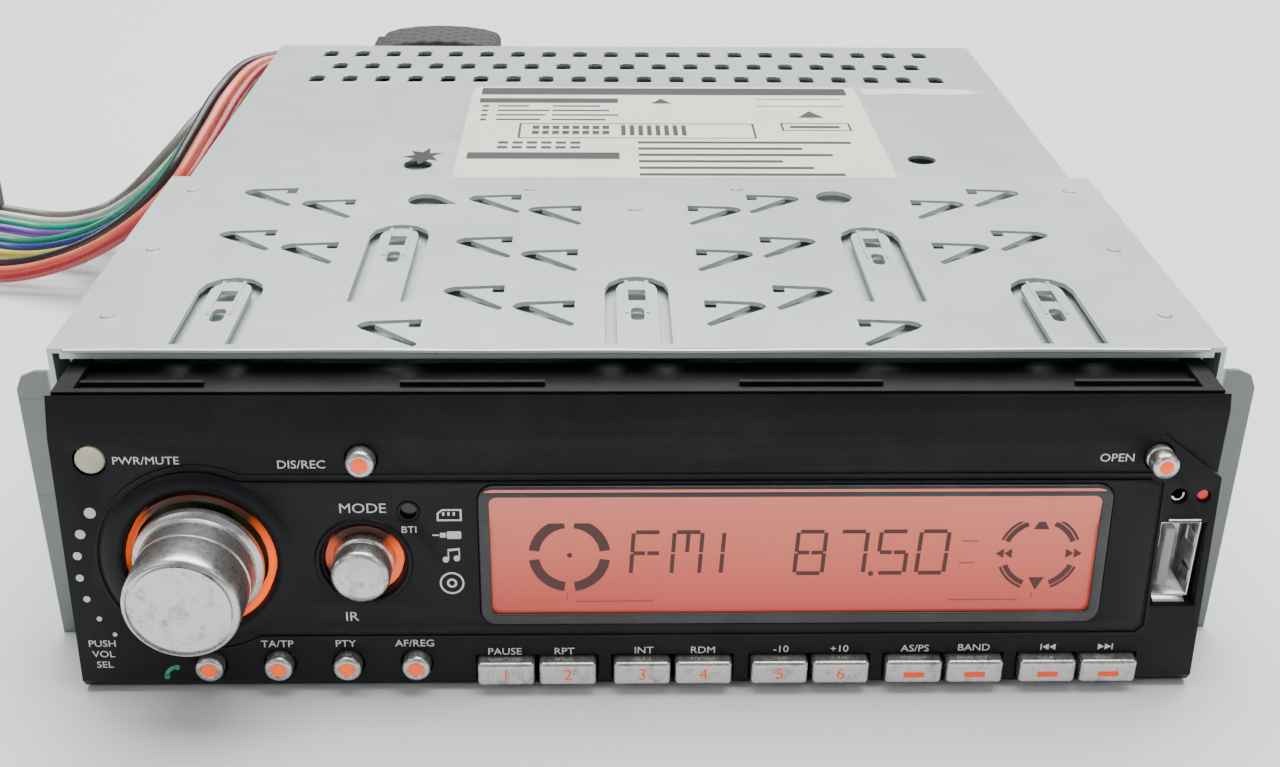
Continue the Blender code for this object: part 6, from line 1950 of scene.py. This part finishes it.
@dataclass
class Keys:
    """Ten flat keys, the round buttons and the open button."""

    digits: tuple[str, ...] = ("1", "2", "3", "4", "5", "6")
    plain: tuple[str, ...] = ("search", "band", "previous", "next")

    def build(self, finishes: Finishes) -> list[Piece]:
        """Shape and mark every key and button.

        Args:
            finishes: the radio's finishes.

        Returns:
            The pieces.
        """
        made = []
        for label in self.digits + self.plain:
            made += self.key(label, finishes)
        for label in ("phone", "traffic", "program", "frequency", "display"):
            made += self.round_button(f"{label}_button", finishes)
        made += self.open_button(finishes)
        made.append(softened("power_button", "power_button", finishes.resin, 0.25 * MM, 2, 40.0))
        return made

    def key(self, label: str, finishes: Finishes) -> list[Piece]:
        """One flat key with its lit mark.

        Args:
            label: a digit, or the key's name.
            finishes: the radio's finishes.

        Returns:
            The cap and its mark.
        """
        node = f"key_{label}"
        low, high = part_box(node)
        x, z, width, height = (low.x + high.x) / 2, 4.1 * MM, 9.0 * MM, 4.2 * MM
        rows = []
        profile = ((0.0, 4.1), (0.0, 0.62), (0.12, 0.26), (0.42, 0.05), (0.95, 0.0))
        for inset, back in profile:
            rows.append([(a, b, -back * MM) for a, b in rounded(0, 0, width - 2 * inset * MM,
                                                                height - 2 * inset * MM,
                                                                 max(0.62 - inset * 0.5, 0.12) * MM, 4)])
        bm = bmesh.new()
        verts = [[bm.verts.new(point) for point in row] for row in rows]
        for near, far in zip(verts, verts[1:]):
            for i in range(len(near)):
                j = (i + 1) % len(near)
                bm.faces.new((near[i], near[j], far[j], far[i]))
        bm.faces.new(verts[0][::-1])
        bm.faces.new(verts[-1])
        cap = finished(f"{node}_cap", bm, finishes.silver, node, facing(x, low.y, z), 50.0)
        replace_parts(cap, node)
        if label in self.digits:
            ink = lettering(label, 2.1 * MM, 0, -0.1 * MM)
        else:
            ink = slab([rounded(0, -0.35 * MM, 3.3 * MM, 1.0 * MM, 0.1 * MM, 2)], 0.03 * MM)
        mark = finished(f"{node}_mark", ink, finishes.orange_ink, node, facing(x, low.y - 0.005 * MM, z))
        return [cap, mark]

    def round_button(self, node: str, finishes: Finishes) -> list[Piece]:
        """One round button with a lit centre.

        Args:
            node: the CAD node.
            finishes: the radio's finishes.

        Returns:
            The cap and its centre.
        """
        low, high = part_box(node)
        x, z = (low.x + high.x) / 2, (low.z + high.z) / 2
        length, r, m = high.y - low.y, 2.25 * MM, MM
        stations = [(0.0, 0.0), (1.2 * m, 0.0), (1.2 * m, length - 5.0 * m), (r + 0.55 * m, length - 5.0 * m),
                    (r + 0.55 * m, length - 4.4 * m), (r, length - 4.3 * m), (r, length - 0.7 * m),
                    (r - 0.15 * m, length - 0.28 * m),
                    (r - 0.5 * m, length), (r - 0.85 * m, length), (r - 1.0 * m, length - 0.16 * m),
                    (0.0, length - 0.2 * m)]
        cap = finished(f"{node}_cap", lathe(stations, 40), finishes.silver, node, facing(x, high.y, z), 40.0)
        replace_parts(cap, node)
        dome = lathe([(0.0, 0.0), (1.18 * m, 0.0), (1.18 * m, 0.14 * m), (0.9 * m, 0.26 * m),
                      (0.45 * m, 0.33 * m),
                      (0.0, 0.36 * m)], 28)
        lit = finished(f"{node}_centre", dome, finishes.button_glow, node, facing(x, low.y + 0.24 * m, z),
                       60.0)
        return [cap, lit]

    def open_button(self, finishes: Finishes) -> list[Piece]:
        """The long open button with its lit end."""
        low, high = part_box("open_button")
        x, z = (low.x + high.x) / 2, (low.z + high.z) / 2
        length, r, m = high.y - low.y, 2.1 * MM, MM
        stations = [(0.0, 0.0), (1.2 * m, 0.0), (1.2 * m, 1.0 * m), (r, 1.3 * m), (r, length - 3.0 * m),
                    (r - 0.2 * m, length - 2.8 * m),
                    (r - 0.2 * m, length - 2.5 * m), (r, length - 2.3 * m), (r, length - 0.6 * m),
                    (r - 0.2 * m, length - 0.2 * m),
                    (r - 0.5 * m, length), (r - 0.8 * m, length - 0.12 * m), (0.0, length - 0.2 * m)]
        cap = finished("open_button_cap", lathe(stations, 40), finishes.silver, "open_button",
                       facing(x, high.y, z), 40.0)
        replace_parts(cap, "open_button")
        dome = lathe([(0.0, 0.0), (1.1 * m, 0.0), (1.1 * m, 0.12 * m), (0.6 * m, 0.3 * m), (0.0, 0.34 * m)],
                     28)
        lit = finished("open_button_centre", dome, finishes.button_glow, "open_button",
                       facing(x, low.y + 0.24 * m, z), 60.0)
        return [cap, lit]


@dataclass
class RightEnd:
    """USB socket, reset hole, lamp and eye."""

    def build(self, finishes: Finishes, face: LeaningFace) -> list[Piece]:
        """Dress the socket and add its springs and the small parts.

        Args:
            finishes: the radio's finishes.
            face: the leaning face.

        Returns:
            The pieces.
        """
        dress(finishes.dark_lens, "infrared_lens")
        dress(finishes.red_lamp, "status_led")
        shell = softened("usb_socket", "panel", finishes.bright, 0.12 * MM, 1, 40.0)
        tongue = softened("usb_tongue", "panel", finishes.grey, 0.15 * MM, 1, 40.0)
        return [shell, tongue, self.springs(finishes), self.lips(finishes), self.strips(finishes),
                self.reset_wire(finishes, face), self.eye_ring(finishes, face)]

    def springs(self, finishes: Finishes) -> Piece:
        """Bend two leaf springs into each long wall of the socket."""
        low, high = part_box("usb_socket")
        leaves = []
        for side in (-1, 1):
            for z in (-3.4, 3.4):
                wall = low.x + 0.5 * MM if side < 0 else high.x - 0.5 * MM
                bm = bmesh.new()
                rows = []
                for i in range(7):
                    t = i / 6
                    bow = -side * (0.45 * math.sin(math.pi * t) + 0.04) * MM
                    y = low.y + (0.35 + 3.6 * t) * MM
                    mid = (low.z + high.z) / 2 + z * MM
                    rows.append([bm.verts.new((wall + bow + a * 0.1 * MM, y, mid + b * 1.1 * MM))
                                 for a, b in ((-1, -1), (1, -1), (1, 1), (-1, 1))])
                for near, far in zip(rows, rows[1:]):
                    for k in range(4):
                        bm.faces.new((near[k], near[(k + 1) % 4], far[(k + 1) % 4], far[k]))
                bm.faces.new(rows[0])
                bm.faces.new(rows[-1][::-1])
                leaves.append(bm)
        return finished("usb_springs", merged(leaves), finishes.bright, "panel")

    def lips(self, finishes: Finishes) -> Piece:
        """Flare the socket's two short mouth edges outwards."""
        low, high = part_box("usb_socket")
        x, m, parts = (low.x + high.x) / 2, MM, []
        for side in (-1, 1):
            z = high.z if side > 0 else low.z
            section = [(0.0, 0.0), (-1.1, 0.5), (-1.55, 1.15), (-1.35, 1.3), (-0.85, 0.75), (0.0, 0.35)]
            bm = bmesh.new()
            rows = [[bm.verts.new((x + dx * m, low.y + 0.3 * m + a * m,
                                   z - side * 0.35 * m + side * b * m)) for a, b in section]
                    for dx in (-2.5, 2.5)]
            for k in range(len(section)):
                n = (k + 1) % len(section)
                bm.faces.new((rows[0][k], rows[0][n], rows[1][n], rows[1][k]))
            bm.faces.new(rows[0][::-1])
            bm.faces.new(rows[1])
            parts.append(bm)
        return finished("usb_mouth_lips", merged(parts), finishes.bright, "panel", smooth=50.0)

    def strips(self, finishes: Finishes) -> Piece:
        """Set four contact strips on the tongue."""
        low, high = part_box("usb_tongue")
        spots = [(high.x + 0.02 * MM, (low.y + high.y) / 2,
                  (low.z + high.z) / 2 + z * MM) for z in (-3.5, -1.1, 1.1, 3.5)]
        return Scatter(Repeated.CHIP, 0.1 * MM, 4.6 * MM, 1.0 * MM).on("usb_contacts", spots, finishes.bright,
                                                                       "panel")

    def reset_wire(self, finishes: Finishes, face: LeaningFace) -> Piece:
        """Bend the small contact wire behind the reset hole."""
        place = face.place(82.4 * MM, 33.9 * MM, -1.1 * MM)
        bow = placed(slab([arc_band(0, 0, 0.75 * MM, 1.05 * MM, 200, 380, 16)], 0.3 * MM), Matrix.Identity(4))
        return finished("reset_contact", bow, finishes.bright, "panel", place)

    def eye_ring(self, finishes: Finishes, face: LeaningFace) -> Piece:
        """Seat a satin ring round the receiver's eye."""
        place = face.place(-35.6 * MM, 32 * MM)
        return finished("eye_ring", lathe([(1.3 * MM, -0.4 * MM), (1.3 * MM, 0.45 * MM),
                                           (1.62 * MM, 0.5 * MM),
                                           (1.66 * MM, -0.4 * MM)], 32), finishes.satin, "panel", place)


# ---- the whole radio ----------------------------------------------------------------------------
def report(name: str, made: Sequence[Piece]) -> None:
    """Log each piece of one sub-assembly.

    Args:
        name: the sub-assembly.
        made: its pieces.
    """
    for piece in made:
        count = len(piece.data.polygons) if piece.type == "MESH" else len(piece.data.splines[0].points)
        LOG.info("%s: %s (%d)", name, piece.name, count)


def main() -> None:
    """Build the radio round its frame."""
    logging.basicConfig(level=logging.INFO, format="%(message)s")
    Studio().build()
    finishes = Finishes()
    report("wiring", Wiring().build(finishes))
    report("sleeve", MountingSleeve().build(finishes))
    report("chassis", Chassis().build(finishes))
    report("rear", RearEnd().build(finishes))
    report("nose", Nose().build(finishes))
    face = LeaningFace()
    report("panel", PanelBody().build(finishes, face))
    report("display", Display().build(finishes, face))
    report("printing", Printing().build(finishes, face))
    report("knobs", Knobs().build(finishes, face))
    report("keys", Keys().build(finishes))
    report("right end", RightEnd().build(finishes, face))


if __name__ == "__main__":
    main()
